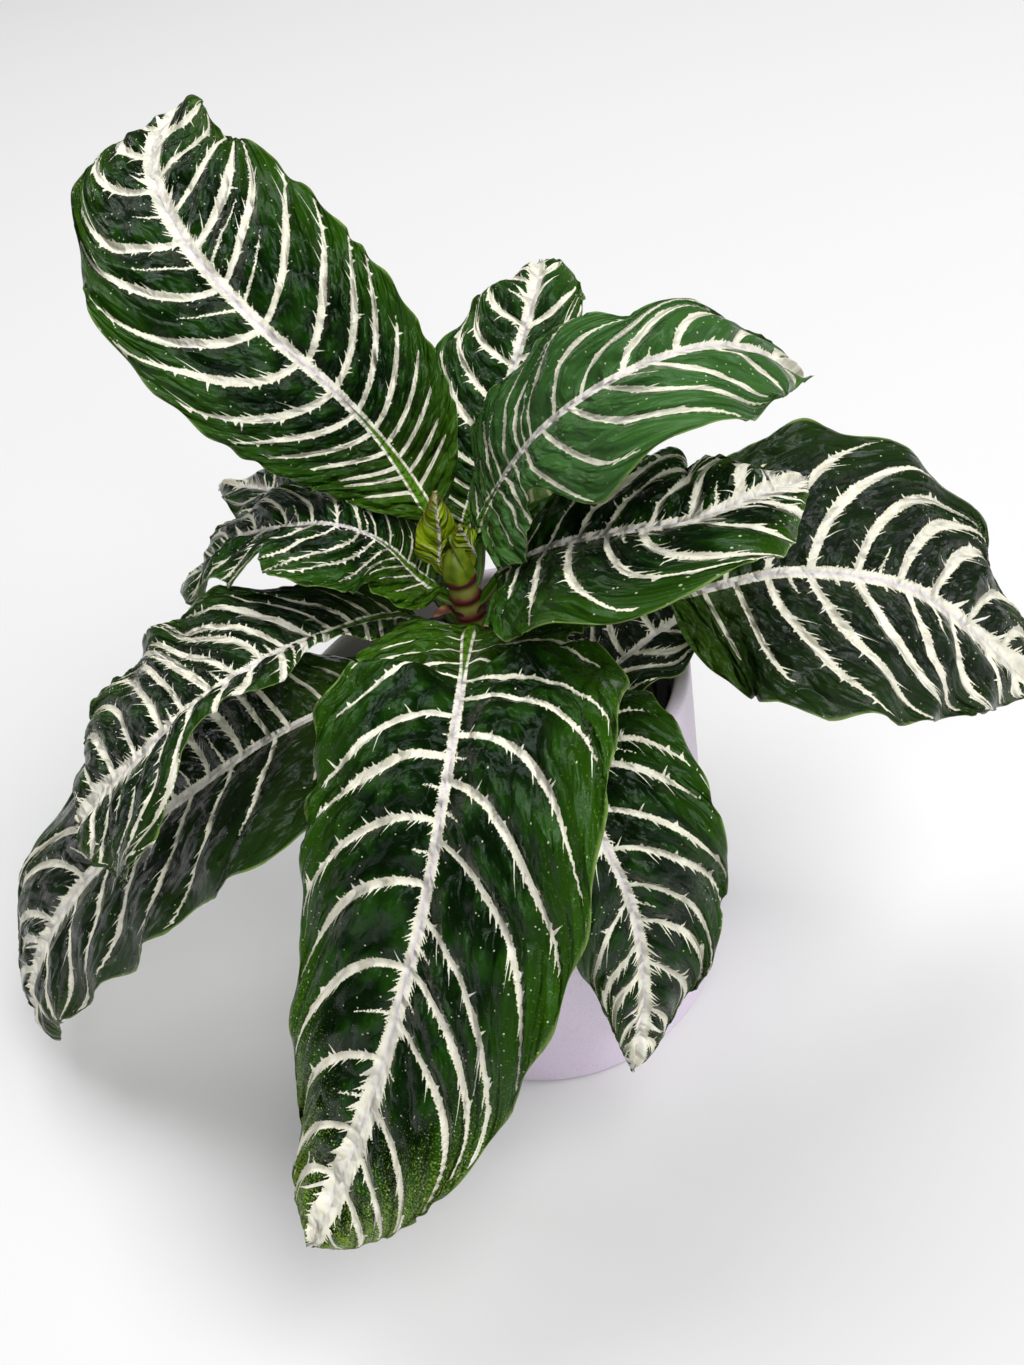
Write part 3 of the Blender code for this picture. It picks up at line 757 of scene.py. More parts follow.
def vein_phase(leaf, t, reach, length, roots, lean, draw):
    """The phase at every place t along the blade (rows) and reach across it (columns).
    A lean above 0 bows the veins back towards the stalk, and one below 0 forward."""
    fine = np.linspace(0, len(roots) - 1, PHASES_A_VEIN * len(roots))
    root = np.interp(fine, np.arange(len(roots)), roots)
    inside = np.clip(root, 0.0, 1.0)
    uneven = np.interp(fine, np.arange(len(roots)), draw.uniform(*UNEVEN_SWEEP, len(roots)))
    slimness = leaf["width"] / 2 / length
    sweep = np.interp(inside, SWEEP_AT, SWEEP) * slimness / USUAL_SLIMNESS * uneven
    sweep = np.minimum(sweep, SWEEP_LIMIT * (1 - inside))
    straight = np.interp(inside, STRAIGHT_AT, STRAIGHT)
    full_turn = 1 - math.sqrt(1 - MARGIN_TURN**2)
    phase = np.empty((len(t), len(reach)))
    for j, r in enumerate(reach):
        turn = (1 - math.sqrt(1 - (MARGIN_TURN * r) ** 2)) / full_turn
        back = lean * slimness * r * (1 - r) * np.minimum(1.0, inside / FULL_LEAN_FROM)
        place = root + sweep * (straight * r + (1 - straight) * turn) - back
        place = np.maximum.accumulate(place + 1e-6 * fine)
        phase[:, j] = np.interp(t, place, fine)
    return phase


print("side veins of the front leaf:", [len(half) for half in LEAVES["leaf_front"]["veins"]])

# %% [markdown]
# How wide a stripe is at each place also comes from the field. Near the stalk the stripes
# are thin and end bluntly, well inside the margin. Further out they are about 2.5 mm wide,
# widest half way, and thin out along the margin. Short stripes fill some of the gaps.

# %% Stripe widths
STRIPE_HALF_AT_BASE = 0.62
STRIPE_HALF_OUT = 1.22
STRIPE_END_AT_BASE = 0.82
STRIPE_END_OUT = 1.0
OUTER_STRIPES = (0.1, 0.38)
STRIPE_BLUNTNESS = 9
TWIG_HALF = 0.55
TWIG_SHARE = 0.45
TWIGS_FROM = 0.22
NO_STRIPE = -3.0
RANDOM_PER_HALF = 30


def ease(low, high, value):
    """0 below low, 1 above high and a smooth step between them."""
    s = np.clip((value - low) / (high - low), 0, 1)
    return s * s * (3 - 2 * s)


def stripe_half_width(leaf, t, reach, phase, lots, last):
    """Half the width in millimetres of the nearest side vein's stripe."""
    nearest = np.round(phase).astype(int)
    lot = lots[np.clip(nearest, 0, RANDOM_PER_HALF - 1)]
    outer = ease(*OUTER_STRIPES, t)
    full = STRIPE_HALF_AT_BASE + (STRIPE_HALF_OUT - STRIPE_HALF_AT_BASE) * outer
    full = full * (1 + (0.4 * lot - 0.22) * outer) * leaf["stripe"]
    end = STRIPE_END_AT_BASE + (STRIPE_END_OUT - STRIPE_END_AT_BASE) * outer - 0.1 * lot
    run = np.clip(reach / end, 0, 1)
    blunt = np.sqrt(1 - run**STRIPE_BLUNTNESS)
    swollen = (0.8 + 0.3 * np.sin(math.pi * run)) * (1 - 0.78 * ease(0.62, 1.0, run))
    half = full * (blunt * (1 - outer) + swollen * outer)
    real = (nearest >= len(BEFORE_FIRST)) & (nearest < last)
    return np.where(real & (run < 1), half, NO_STRIPE)


def twig_half_width(leaf, t, reach, phase, lots, last):
    """Half the width of the short stripe half way to the next side vein."""
    before = np.floor(phase).astype(int)
    lot = lots[np.clip(before, 0, RANDOM_PER_HALF - 1)]
    end = 0.08 + 0.5 * (lot / TWIG_SHARE) ** 1.5
    there = (lot < TWIG_SHARE) & (reach < end) & (t > TWIGS_FROM) & (before < last)
    half = TWIG_HALF * leaf["stripe"] * (1 - (reach / end) ** 1.5)
    return np.where(there, half, NO_STRIPE)


print("full stripe width in mm:", 2 * STRIPE_HALF_OUT)

# %% [markdown]
# The blade's own bend comes first: how far it rises off the plane of its midrib. It is
# folded up a little along the rib, droops towards its margin and is waved along it. This
# is the form of the CAD blade, so it is the CAD source's formula with the same numbers.

# %% Bend of the blade
def blade_lift(leaf, t, half, u):
    """How far the CAD blade rises off its midrib plane at each place across it."""
    fold = math.radians(leaf.get("fold", BLADE_FOLD)) * (1 - (1 - FOLD_KEPT_AT_TIP) * t)
    reach = np.abs(u)
    turns = leaf["waves"] * t + leaf["phase"] + WAVE_SHIFT * np.sign(u)
    wave = WAVE_HEIGHT * reach**WAVE_POWER * np.sin(2 * math.pi * turns)
    bend = half * (reach * np.sin(fold) - BLADE_DROOP * reach**2)
    return bend + wave * np.minimum(1.0, half / WAVE_FULL_WIDTH)


def blade_axes(leaf, line, ahead, t):
    """The directions across the blade and up from it at each section. The blade lies level
    across its heading and is banked from its base to its tip."""
    span = line[-1] - line[0]
    heading = math.radians(leaf.get("facing", math.degrees(math.atan2(span[1], span[0]))))
    level = np.array([math.sin(heading), -math.cos(heading), 0.0])
    right = level - ahead * (ahead @ level)[:, None]
    right /= np.linalg.norm(right, axis=1)[:, None]
    up = np.cross(right, ahead)
    bank = np.radians(leaf["bank"][0] + (leaf["bank"][1] - leaf["bank"][0]) * t)
    return right * np.cos(bank) + up * np.sin(bank), up * np.cos(bank) - right * np.sin(bank)


print("fold of a blade in degrees, base and tip:", BLADE_FOLD, BLADE_FOLD * FOLD_KEPT_AT_TIP)

# %% [markdown]
# Now the relief of the blade. Veins are sunken and the green between them is puffed up, as
# if quilted, with softer lumps all over, and the margin is crimped. All of it is a few
# millimetres high at most. It could be sculpted, or be left to a bump map, but then the
# edge of the leaf would stay smooth, so it is worked out from the vein field as real mesh.

# %% Relief of the blade
QUILT_HEIGHT = 2.8
QUILT_FULL_GAP = 14.0
QUILT_MOST = 1.2
QUILT_POWER = 0.65
QUILT_LOST_AT_MARGIN = 0.55
WRINKLE_HEIGHT = 1.4
WRINKLES_A_VEIN = 1.6
WRINKLE_LENGTH = 9.0
MARGIN_RIPPLE = 0.9
RIPPLE_SHIFT = 1.7
RIPPLE_POWER = 4
RIPPLE_FULL_WIDTH = 20.0
CREASE_STEEPNESS = 2.3
RIB_RIDGE_HEIGHT = 0.35
RIB_RIDGE_HALF = 1.1
RIB_RIDGE_LOST_AT_TIP = 0.7


def wrinkles(phase, offset, seed):
    """Soft lumps between the veins, in millimetres of height."""
    grid = np.stack(
        [phase * WRINKLES_A_VEIN, offset / WRINKLE_LENGTH, np.full(phase.shape, seed)], -1
    )
    values = [perlin.fractal(Vector(p), 1.0, 2.0, 3) for p in grid.reshape(-1, 3)]
    return WRINKLE_HEIGHT * np.array(values).reshape(phase.shape)


def blade_relief(leaf, t, u, half, phase, gap, offset, quilt, seed):
    """How far the relief rises off the bent blade, and the ridge over the midrib. The quilt
    scales the relief, and is 1 on a grown leaf."""
    reach = np.abs(u)
    blade = ease(0.0, 0.05, t)
    deep = np.minimum(gap / QUILT_FULL_GAP, QUILT_MOST)
    puff = np.abs(np.sin(math.pi * phase)) ** QUILT_POWER * deep
    puff *= ease(0.0, 0.3, reach) * (1 - QUILT_LOST_AT_MARGIN * ease(0.75, 1.0, reach)) * blade
    ripple = np.sin(math.pi * phase + RIPPLE_SHIFT * np.sign(u)) * reach**RIPPLE_POWER * blade
    ripple *= np.minimum(1, half / RIPPLE_FULL_WIDTH)
    creased = np.zeros(phase.shape)
    for place, spread, height in leaf.get("creases", ()):
        x = (t - place) / spread
        creased += height * CREASE_STEEPNESS * x * np.exp(-(x**2)) * ease(0.1, 0.45, reach)
    bumps = quilt * (QUILT_HEIGHT * puff + MARGIN_RIPPLE * ripple)
    bumps += quilt * wrinkles(phase, offset, seed) * ease(0.02, 0.2, reach) * blade
    ridge = RIB_RIDGE_HEIGHT * np.exp(-((offset / RIB_RIDGE_HALF) ** 2)) * blade
    return bumps + creased, ridge * (1 - RIB_RIDGE_LOST_AT_TIP * t)


print("quilting in mm:", QUILT_HEIGHT, "and margin ripple in mm:", MARGIN_RIPPLE)

# %% [markdown]
# The blade's width is measured out from the midrib in fine columns that are closest
# together at the rib. The underside repeats the top at the thickness of a real leaf, about
# half a millimetre, and carries the round rib. The vein field is read on both halves, and
# where a margin is folded under, the ends of its veins go with it.

# %% Blade surface
BLADE_HALF_THICKNESS = 0.27
LOST_AT_EDGE = 0.5
COLUMN_CROWDING = 1.2
COLUMN_MM = 1.35
FEWEST_COLUMNS = 6
MARGIN_SCALLOP = 0.018
SCALLOP_POWER = 6
CLOSEST_VEINS = 1e-3


def leaf_phases(leaf, t, half_u, kept, length, roots, draw):
    """The phase on the left and the right half, from the midrib out."""
    phases = [
        vein_phase(leaf, t, half_u, length, given, lean, draw)
        for given, lean in zip(roots, leaf.get("lean", USUAL_LEAN))
    ]
    for phase, kept_there in zip(phases, (kept[:, 0], kept[:, -1])):
        for row, share in zip(phase, kept_there):
            row[:] = np.interp(half_u * min(share, 1.0), half_u, row)
    return phases


def across_blade(left, right):
    """A grid across the whole blade from one for each half, from the midrib out."""
    return np.concatenate([left[:, :0:-1], right], axis=1)


def vein_gap(flat, phases):
    """How many millimetres apart the veins are at each point."""
    along_mm = np.linalg.norm(np.gradient(flat, axis=0), axis=2)
    across_mm = np.linalg.norm(np.gradient(flat, axis=1), axis=2)
    slope_across = across_blade(*[np.gradient(phase, axis=1) for phase in phases]) / across_mm
    slope_along = np.gradient(across_blade(*phases), axis=0) / along_mm
    return 1 / np.maximum(np.hypot(slope_along, slope_across), CLOSEST_VEINS)


def leaf_fields(name, leaf, quilt=1.0, step_mm=STEP_MM):
    """The top and bottom points of a leaf as grids in millimetres, with its vein fields."""
    draw = np.random.default_rng(sum(map(ord, name)))
    places, shares, line, ahead, length = leaf_line(leaf, step_mm)
    columns = max(FEWEST_COLUMNS, int(leaf["width"] / 2 / (COLUMN_MM * step_mm)))
    half_u = (np.arange(columns + 1) / columns) ** COLUMN_CROWDING
    u = np.concatenate([-half_u[:0:-1], half_u])[None, :]
    t = np.maximum(places, 0.0)[:, None]
    radius = (STALK_RADIUS + (RIB_RADIUS - STALK_RADIUS) * shares**RIB_TAPER)[:, None]
    half = np.maximum(half_width(leaf, t), radius * (1 - t) + TIP_HALF_WIDTH * t)
    across, normal = blade_axes(leaf, line, ahead, t)

    reach = np.abs(u)
    kept = kept_shares(leaf, t, u)
    roots = [vein_roots(leaf, hand, draw) for hand in (0, 1)]
    phases = leaf_phases(leaf, t[:, 0], half_u, kept, length, roots, draw)
    phase = across_blade(*phases)
    blade = ease(0.0, 0.05, t)
    waves = np.cos(2 * math.pi * phase) * blade
    scallop = 1 + MARGIN_SCALLOP * quilt * reach**SCALLOP_POWER * waves
    sides = np.where(u > 0, leaf.get("right", 1.0), leaf.get("left", 1.0))
    offset = half * sides * kept * u * scallop
    lift = blade_lift(leaf, t, half, u)
    flat = line[:, None, :] + offset[..., None] * across[:, None, :]
    flat += lift[..., None] * normal[:, None, :]
    gap = vein_gap(flat, phases)

    seed = draw.uniform(0, 50)
    bumps, ridge = blade_relief(leaf, t, u, half, phase, gap, offset, quilt, seed)
    core = np.sqrt(np.maximum(radius**2 - offset**2, 0.0))
    sunk = np.maximum(0.0, 1 - t / BLADE_FLUSH_WITH_RIB)
    above = np.maximum(core * sunk, BLADE_HALF_THICKNESS) + ridge
    below = np.maximum(core, BLADE_HALF_THICKNESS)
    # The sheet thins towards its margin, so that the cut edge isn't a thick wall.
    thin = 1 - LOST_AT_EDGE * ease(0.9, 1.0, reach) * blade
    top = flat + (bumps + above * thin)[..., None] * normal[:, None, :]
    bottom = flat + (bumps - below * thin)[..., None] * normal[:, None, :]
    return dict(
        top=top, bottom=bottom, phase=phase, phases=phases, gap=gap, t=t, half=half, u=u,
        reach=reach, marked=reach * kept, offset=offset, along=places * length,
        roots=roots, draw=draw,
    )


print("thickness of a blade in mm:", 2 * BLADE_HALF_THICKNESS)

# %% [markdown]
# The grids become one closed mesh for each leaf: the top, the underside and a narrow edge
# all round. Corner attributes carry the vein field, because it has one value on each side
# of the midrib, and the rest are point attributes. The shader reads them by name. The
# pale band on the midrib is measured here too, and is widest on the outer, grown leaves.

# %% Leaf meshes
SPECK_SEED_STEP = 100.0
PHASES_A_LEAF = 100
PHASES_TO_RIGHT_HALF = 50
WIDEST_GAP = 30.0
USUAL_MOTTLING = 0.15


def closed_sheet_faces(rows, columns):
    """Quads of a top grid, a bottom grid and the wall that joins their edges."""
    index = np.arange(rows * columns).reshape(rows, columns)
    low = index + rows * columns
    top = np.stack([index[:-1, :-1], index[:-1, 1:], index[1:, 1:], index[1:, :-1]], axis=-1)
    bottom = top[..., ::-1] + rows * columns
    walls = []
    for a, b in ((index[:, 0], low[:, 0]), (low[:, -1], index[:, -1])):
        walls.append(np.stack([a[:-1], a[1:], b[1:], b[:-1]], axis=-1))
    for a, b in ((low[0], index[0]), (index[-1], low[-1])):
        walls.append(np.stack([a[:-1], a[1:], b[1:], b[:-1]], axis=-1))
    return top.reshape(-1, 4), bottom.reshape(-1, 4), np.concatenate(walls)


def set_attribute(mesh, name, domain, values):
    """Stores a number, or a vector, at each point or face corner of a mesh."""
    kind = "FLOAT_VECTOR" if values.ndim == 2 else "FLOAT"
    attribute = mesh.attributes.new(name, kind, domain)
    field = "vector" if kind == "FLOAT_VECTOR" else "value"
    attribute.data.foreach_set(field, values.astype(np.float32).ravel())


def rib_band(leaf, t, half):
    """Half the width of the pale band along the midrib, and of the green core inside it."""
    core = leaf["green_rib"]
    green = 1.9 * (1 - ease(0.0, max(core, 0.01), t)) - 0.3
    grown = ease(0.0, 0.3, leaf["age"])
    wider = 0.7 * ease(0.45, 0.75, t) + 0.7 * ease(0.75, 0.9, t)
    wider = wider + 0.9 * leaf.get("mottled", 0.0) * ease(0.6, 0.85, t)
    pale = 1.25 + 0.6 * ease(0.1, 0.4, t) + wider * grown
    pale = np.minimum(np.maximum(pale * leaf["stripe"], green + 0.8), 0.45 * half)
    return pale * ease(0.0, 0.03, t), green


def both_faces(grid):
    """The values of a grid for the top points and again for the bottom points."""
    return np.concatenate([grid.reshape(-1), grid.reshape(-1)])


def set_stripe_attributes(mesh, made, leaf, number):
    """Stores what the shader needs to draw this leaf's stripes."""
    shape = made["top"].shape[:2]
    t, reach, marked, half, offset = [
        np.broadcast_to(made[key], shape) for key in ("t", "reach", "marked", "half", "offset")
    ]
    pale, green = rib_band(leaf, t, half)
    stripes, twigs = [], []
    for roots in made["roots"]:
        last = len(roots) - len(PAST_TIP)
        lots = made["draw"].random((2, RANDOM_PER_HALF))
        stripes.append(stripe_half_width(leaf, t, marked, made["phase"], lots[0], last))
        twigs.append(twig_half_width(leaf, t, marked, made["phase"], lots[1], last))
    on_right_half = np.broadcast_to(made["u"] > 0, shape)
    along = np.broadcast_to(made["along"][:, None], shape)
    for field, values in {
        "vein_gap": np.minimum(made["gap"], WIDEST_GAP),
        "stripe_half": np.where(on_right_half, stripes[1], stripes[0]),
        "twig_half": np.where(on_right_half, twigs[1], twigs[0]),
        "rib_edge": pale - np.abs(offset), "core_edge": green - np.abs(offset),
        "along": t, "reach": reach, "age": np.full(shape, leaf["age"]),
        "mottled": np.full(shape, leaf.get("mottled", USUAL_MOTTLING)),
    }.items():
        set_attribute(mesh, field, "POINT", both_faces(values))
    spot = np.stack([offset, along, np.full(shape, number * SPECK_SEED_STEP)], axis=-1)
    set_attribute(mesh, "spot", "POINT", np.tile(spot.reshape(-1, 3), (2, 1)))


def set_phase_attribute(mesh, made, faces, number):
    """Stores the vein field at the corners: faces on the right half read the right half's
    field, so that nothing is blended over the midrib."""
    rows, columns = made["top"].shape[:2]
    left, right = [
        both_faces(across_blade(phase, phase)) + PHASES_A_LEAF * number for phase in made["phases"]
    ]
    column_of = np.tile(np.arange(rows * columns) % columns, 2)
    on_right = column_of[faces].sum(axis=1) / 4 > columns // 2
    phase = np.where(on_right[:, None], right[faces] + PHASES_TO_RIGHT_HALF, left[faces])
    set_attribute(mesh, "vein_phase", "CORNER", phase.reshape(-1))


def leaf_piece(name, leaf, number, slot, materials, quilt=1.0, step_mm=STEP_MM):
    """One leaf as a piece: its mesh, the fields for the shader and its two materials."""
    made = leaf_fields(name, leaf, quilt, step_mm)
    points = np.concatenate([made["top"].reshape(-1, 3), made["bottom"].reshape(-1, 3)]) * MM
    top, bottom, wall = closed_sheet_faces(*made["top"].shape[:2])
    faces = np.concatenate([top, bottom, wall])
    mesh = bpy.data.meshes.new(name)
    mesh.from_pydata(points.tolist(), [], faces.tolist())
    kinds = np.repeat([0, 1, 0], [len(top), len(bottom), len(wall)])
    mesh.polygons.foreach_set("material_index", kinds.astype(np.int32))
    mesh.polygons.foreach_set("use_smooth", np.ones(len(faces), bool))
    set_stripe_attributes(mesh, made, leaf, number)
    set_phase_attribute(mesh, made, faces, number)
    mesh.update()
    mesh.validate()
    for material in materials:
        mesh.materials.append(material)
    return place_piece(name + "_blade", mesh, slot, name)


print("faces of a sheet of 3 by 3 points:", sum(map(len, closed_sheet_faces(3, 3))))

# %% [markdown]
# The stripes are drawn from the vein field: a stripe is where the distance to the nearest
# vein is less than the stripe's half width. They could be painted on a texture, but the
# field keeps their edges sharp at any distance. Little thorns on both sides of each stripe,
# every few millimetres, come from a one dimensional Voronoi texture that runs along the
# vein, and each thorn's length from that cell's random colour. Longer, rarer branches, and
# the feathers and plumes on the midrib, are made in the same way.

# %% Stripes in the shader
THORN_EVERY_MM = 2.8
THORN_HALF_MM = 0.55
THORN_MM = 1.8
BRANCH_EVERY_MM = 8.0
BRANCH_HALF_MM = 0.34
BRANCH_MM = 4.6
FEATHER_EVERY_MM = 1.7
FEATHER_HALF_MM = 0.55
PLUME_EVERY_MM = 6.0
PLUME_HALF_MM = 1.4
THORN_LEAN = 0.25
BRANCH_LEAN = 0.09
FEATHER_LEAN = 0.5
PLUME_LEAN = 0.16
SEED_A_VEIN = 7.31
SPIKED_FROM_LOT = 0.4


def read_fields(tree):
    """The leaf's attributes as outputs, by name."""
    names = ("vein_phase", "vein_gap", "stripe_half", "twig_half", "rib_edge", "core_edge")
    names += ("along", "reach", "age", "mottled")
    fields = {
        name: add_node(tree, "Attribute", attribute_name=name).outputs["Fac"] for name in names
    }
    fields["spot"] = add_node(tree, "Attribute", attribute_name="spot").outputs["Vector"]
    return fields


def spikes(tree, place, half_share, length):
    """Spikes along a line of cells, each of its own length: how far they stick out."""
    cells = add_node(tree, "TexVoronoi", {"W": place, "Scale": 1.0}, voronoi_dimensions="1D")
    shape = add_node(tree, "MapRange", [cells, 0.0, half_share, 1.0, 0.0])
    lot = add_node(tree, "SeparateColor", [cells.outputs["Color"]])
    tall = add_node(tree, "MapRange", [lot, SPIKED_FROM_LOT, 1.0, 0.0, length])
    return add_node(tree, "Math", [shape, tall], operation="MULTIPLY")


def vein_distances(tree, fields):
    """How far a point is from the nearest side vein, the nearest place half way between two
    of them and the midrib, in millimetres, and a number for each side of each vein."""
    away = add_node(tree, "Math", [fields["vein_phase"], 0.5], operation="PINGPONG")
    from_vein = add_node(tree, "Math", [away, fields["vein_gap"]], operation="MULTIPLY")
    rest = add_node(tree, "Math", [0.5, away], operation="SUBTRACT")
    from_twig = add_node(tree, "Math", [rest, fields["vein_gap"]], operation="MULTIPLY")
    nearest = add_node(tree, "Math", [fields["vein_phase"]], operation="ROUND")
    beyond = add_node(tree, "Math", [fields["vein_phase"], nearest], operation="SUBTRACT")
    side = add_node(tree, "Math", [beyond], operation="SIGN")
    spot = add_node(tree, "SeparateXYZ", [fields["spot"]])
    across = add_node(tree, "Math", [spot], operation="ABSOLUTE")
    seed = add_node(tree, "Math", [nearest, SEED_A_VEIN, side], operation="MULTIPLY_ADD")
    return from_vein, from_twig, across, seed, spot


def stripe_edges(tree, fields, fine):
    """How far inside a pale stripe a point lies, in millimetres, below 0 on the green."""
    from_vein, from_twig, across, seed, spot = vein_distances(tree, fields)

    # Thorns and a few long thin branches stand on both sides of a vein, leaning forward.
    spiked = []
    for every, half, tall, slant in (
        (THORN_EVERY_MM, THORN_HALF_MM, THORN_MM, THORN_LEAN),
        (BRANCH_EVERY_MM, BRANCH_HALF_MM, BRANCH_MM, BRANCH_LEAN),
    ):
        slanted = add_node(tree, "Math", [from_vein, -slant, seed], operation="MULTIPLY_ADD")
        place = add_node(tree, "Math", [across, 1 / every, slanted], operation="MULTIPLY_ADD")
        spiked.append(spikes(tree, place, half / every, tall))
    thorns = spiked[0]
    grown = add_node(tree, "MapRange", [fields["age"], 0.0, 0.4, 0.12, 1.0])
    begun = add_node(tree, "MapRange", [fields["along"], 0.1, 0.32])
    thorny = add_node(tree, "Math", [grown, begun], operation="MULTIPLY")
    main = add_node(tree, "Math", spiked, operation="MAXIMUM")
    main = add_node(tree, "Math", [main, thorny, fields["stripe_half"]], operation="MULTIPLY_ADD")
    main = add_node(tree, "Math", [main, from_vein], operation="SUBTRACT")
    twig = add_node(tree, "Math", [thorns, 0.5, fields["twig_half"]], operation="MULTIPLY_ADD")
    twig = add_node(tree, "Math", [twig, from_twig], operation="SUBTRACT")

    # The band on the midrib is feathered, and frays into plumes near the tip.
    half_side = add_node(tree, "Math", [spot], operation="SIGN")
    frays = []
    for every, half, slant, growth in (
        (FEATHER_EVERY_MM, FEATHER_HALF_MM, FEATHER_LEAN, (0.2, 0.85, 0.9, 3.6)),
        (PLUME_EVERY_MM, PLUME_HALF_MM, PLUME_LEAN, (0.5, 0.9, 0.0, 10.0)),
    ):
        slanted = add_node(tree, "Math", [across, -slant, half_side], operation="MULTIPLY_ADD")
        place = add_node(
            tree, "Math", [spot.outputs["Y"], 1 / every, slanted], operation="MULTIPLY_ADD"
        )
        shape = spikes(tree, place, half / every, 1.0)
        long_mm = add_node(tree, "MapRange", [fields["along"], *growth])
        frays.append(add_node(tree, "Math", [shape, long_mm], operation="MULTIPLY"))
    rib = add_node(tree, "Math", frays, operation="MAXIMUM")
    rib = add_node(tree, "Math", [rib, thorny, fields["rib_edge"]], operation="MULTIPLY_ADD")

    # Noise frays every edge, and breaks what is long and thin up into dashes and dots.
    frayed = add_node(tree, "Math", [fine, 0.5], operation="SUBTRACT")
    far_out = add_node(tree, "Math", [from_vein, 4.0], operation="MINIMUM")
    amount = add_node(tree, "Math", [far_out, 0.45, 0.9], operation="MULTIPLY_ADD")
    held = add_node(tree, "Math", [thorny, 0.8, 0.2], operation="MULTIPLY_ADD")
    amount = add_node(tree, "Math", [amount, held], operation="MULTIPLY")
    edge = add_node(tree, "Math", [main, twig], operation="MAXIMUM")
    edge = add_node(tree, "Math", [edge, rib], operation="MAXIMUM")
    edge = add_node(tree, "Math", [frayed, amount, edge], operation="MULTIPLY_ADD")
    return edge, from_vein, across


print("thorns every", THORN_EVERY_MM, "mm and branches every", BRANCH_EVERY_MM, "mm")

# %% [markdown]
# The tissue between the stripes is a deep green that is never even. Painted shade makes it
# darkest where the blade dips between its blisters. It is lighter near the margin, yellower
# near the stalk and paler on a young leaf, and an old leaf turns a blackish green. Each of
# these is one more colour that is mixed in, by a weight that comes from one of the leaf's
# fields. The tip is peppered with yellow, and pale flecks under a millimetre wide lie all
# over the outer half.

# %% Green tissue
PAINTED_DIP_SHADE = 0.38
FLECKS_A_MM = 0.85


def mixed(tree, base, *layers):
    """A colour with others laid over it in turn, each a weight and a colour."""
    for weight, colour in layers:
        base = add_node(tree, "Mix", {"Factor": weight, 6: base, 7: colour}, data_type="RGBA")
    return base


def green_tissue(tree, fields, colours, patches, dips, clouds, fine):
    """The colour of the blade between the stripes, with painted shade where it dips."""
    depth = add_node(tree, "Math", [patches, 0.7, 0.31], operation="MULTIPLY_ADD")
    # Painted shade: where the blade dips between its blisters, the green slides down its ramp
    # towards the deep colour.
    depth = add_node(tree, "Math", [dips, -PAINTED_DIP_SHADE, depth], operation="MULTIPLY_ADD")
    green = add_node(
        tree, "ValToRGB", [depth],
        [(0.38, colours["deep"]), (0.5, colours["middle"]), (0.62, colours["bright"])],
    )
    margin = add_node(tree, "MapRange", [fields["reach"], 0.55, 1.0, 0.0, 0.8])
    fresh = add_node(tree, "MapRange", [fields["age"], 0.0, 0.35, 0.85, 0.0])
    old = add_node(tree, "MapRange", [fields["age"], 0.45, 1.0, 0.0, 0.85])
    rim = add_node(tree, "MapRange", [fields["reach"], 0.984, 0.998, 0.0, 0.7])
    near_stalk = add_node(tree, "MapRange", [fields["along"], 0.0, 0.2, 0.5, 0.0])

    # The tip is peppered with yellow, most of all near the margin.
    tip = add_node(tree, "MapRange", [fields["along"], 0.6, 1.0, -0.05, 0.45])
    tip = add_node(tree, "Math", [fields["reach"], 0.35, tip], operation="MULTIPLY_ADD")
    tip = add_node(tree, "Math", [clouds, 0.5, tip], operation="MULTIPLY_ADD")
    tip = add_node(tree, "Math", [fine, 1.6, tip], operation="MULTIPLY_ADD")
    mottle = add_node(tree, "MapRange", [tip, 1.5, 1.8, 0.0, 0.75])
    mottle = add_node(tree, "Math", [mottle, fields["mottled"]], operation="MULTIPLY")

    # Pale flecks: hardly any near the stalk, and dense at the tip.
    flecks = add_node(tree, "TexVoronoi", {"Vector": fields["spot"], "Scale": FLECKS_A_MM})
    lot = add_node(tree, "SeparateColor", [flecks.outputs["Color"]])
    needed = add_node(tree, "MapRange", [fields["along"], 0.3, 1.0, 0.992, 0.82])
    chosen = add_node(tree, "Math", [lot, needed], operation="GREATER_THAN")
    dot = add_node(tree, "MapRange", [flecks, 0.14, 0.28, 0.85, 0.0])
    dot = add_node(tree, "Math", [dot, chosen], operation="MULTIPLY")

    weights = {
        "margin": margin, "fresh": fresh, "old": old, "core": near_stalk, "mottle": mottle,
        "rim": rim, "fleck": dot,
    }
    layers = [(weight, linear(colours[name])) for name, weight in weights.items()]
    return mixed(tree, green, *layers)


print("flecks are up to", round(2 * 0.28 / FLECKS_A_MM, 2), "mm wide")

# %% [markdown]
# The upper face of a leaf is a waxy cuticle over the tissue, so it is a smooth dielectric
# with a soft, broken gloss. Between its veins the blade is blistered, which a smooth
# Voronoi texture gives: its cells are rounded bumps, two to a vein and about 9 mm long,
# and noise bends them, so that they don't stand in rows. They are too many to model, so
# they are a bump. Light that green wax mirrors is tinted a little green, and on an old,
# dusty leaf it is grey.

# %% Leaf face
BLISTERS_A_VEIN = 2.0
BLISTER_LENGTH_MM = 9.0
BLISTER_MM = 4.4
BLISTER_BEND = 0.9
GROOVE_HALF_MM = 1.8
GROOVE_MM = 0.3
PEBBLE_MM = 0.18
EDGE_BLUR_MM = 0.08


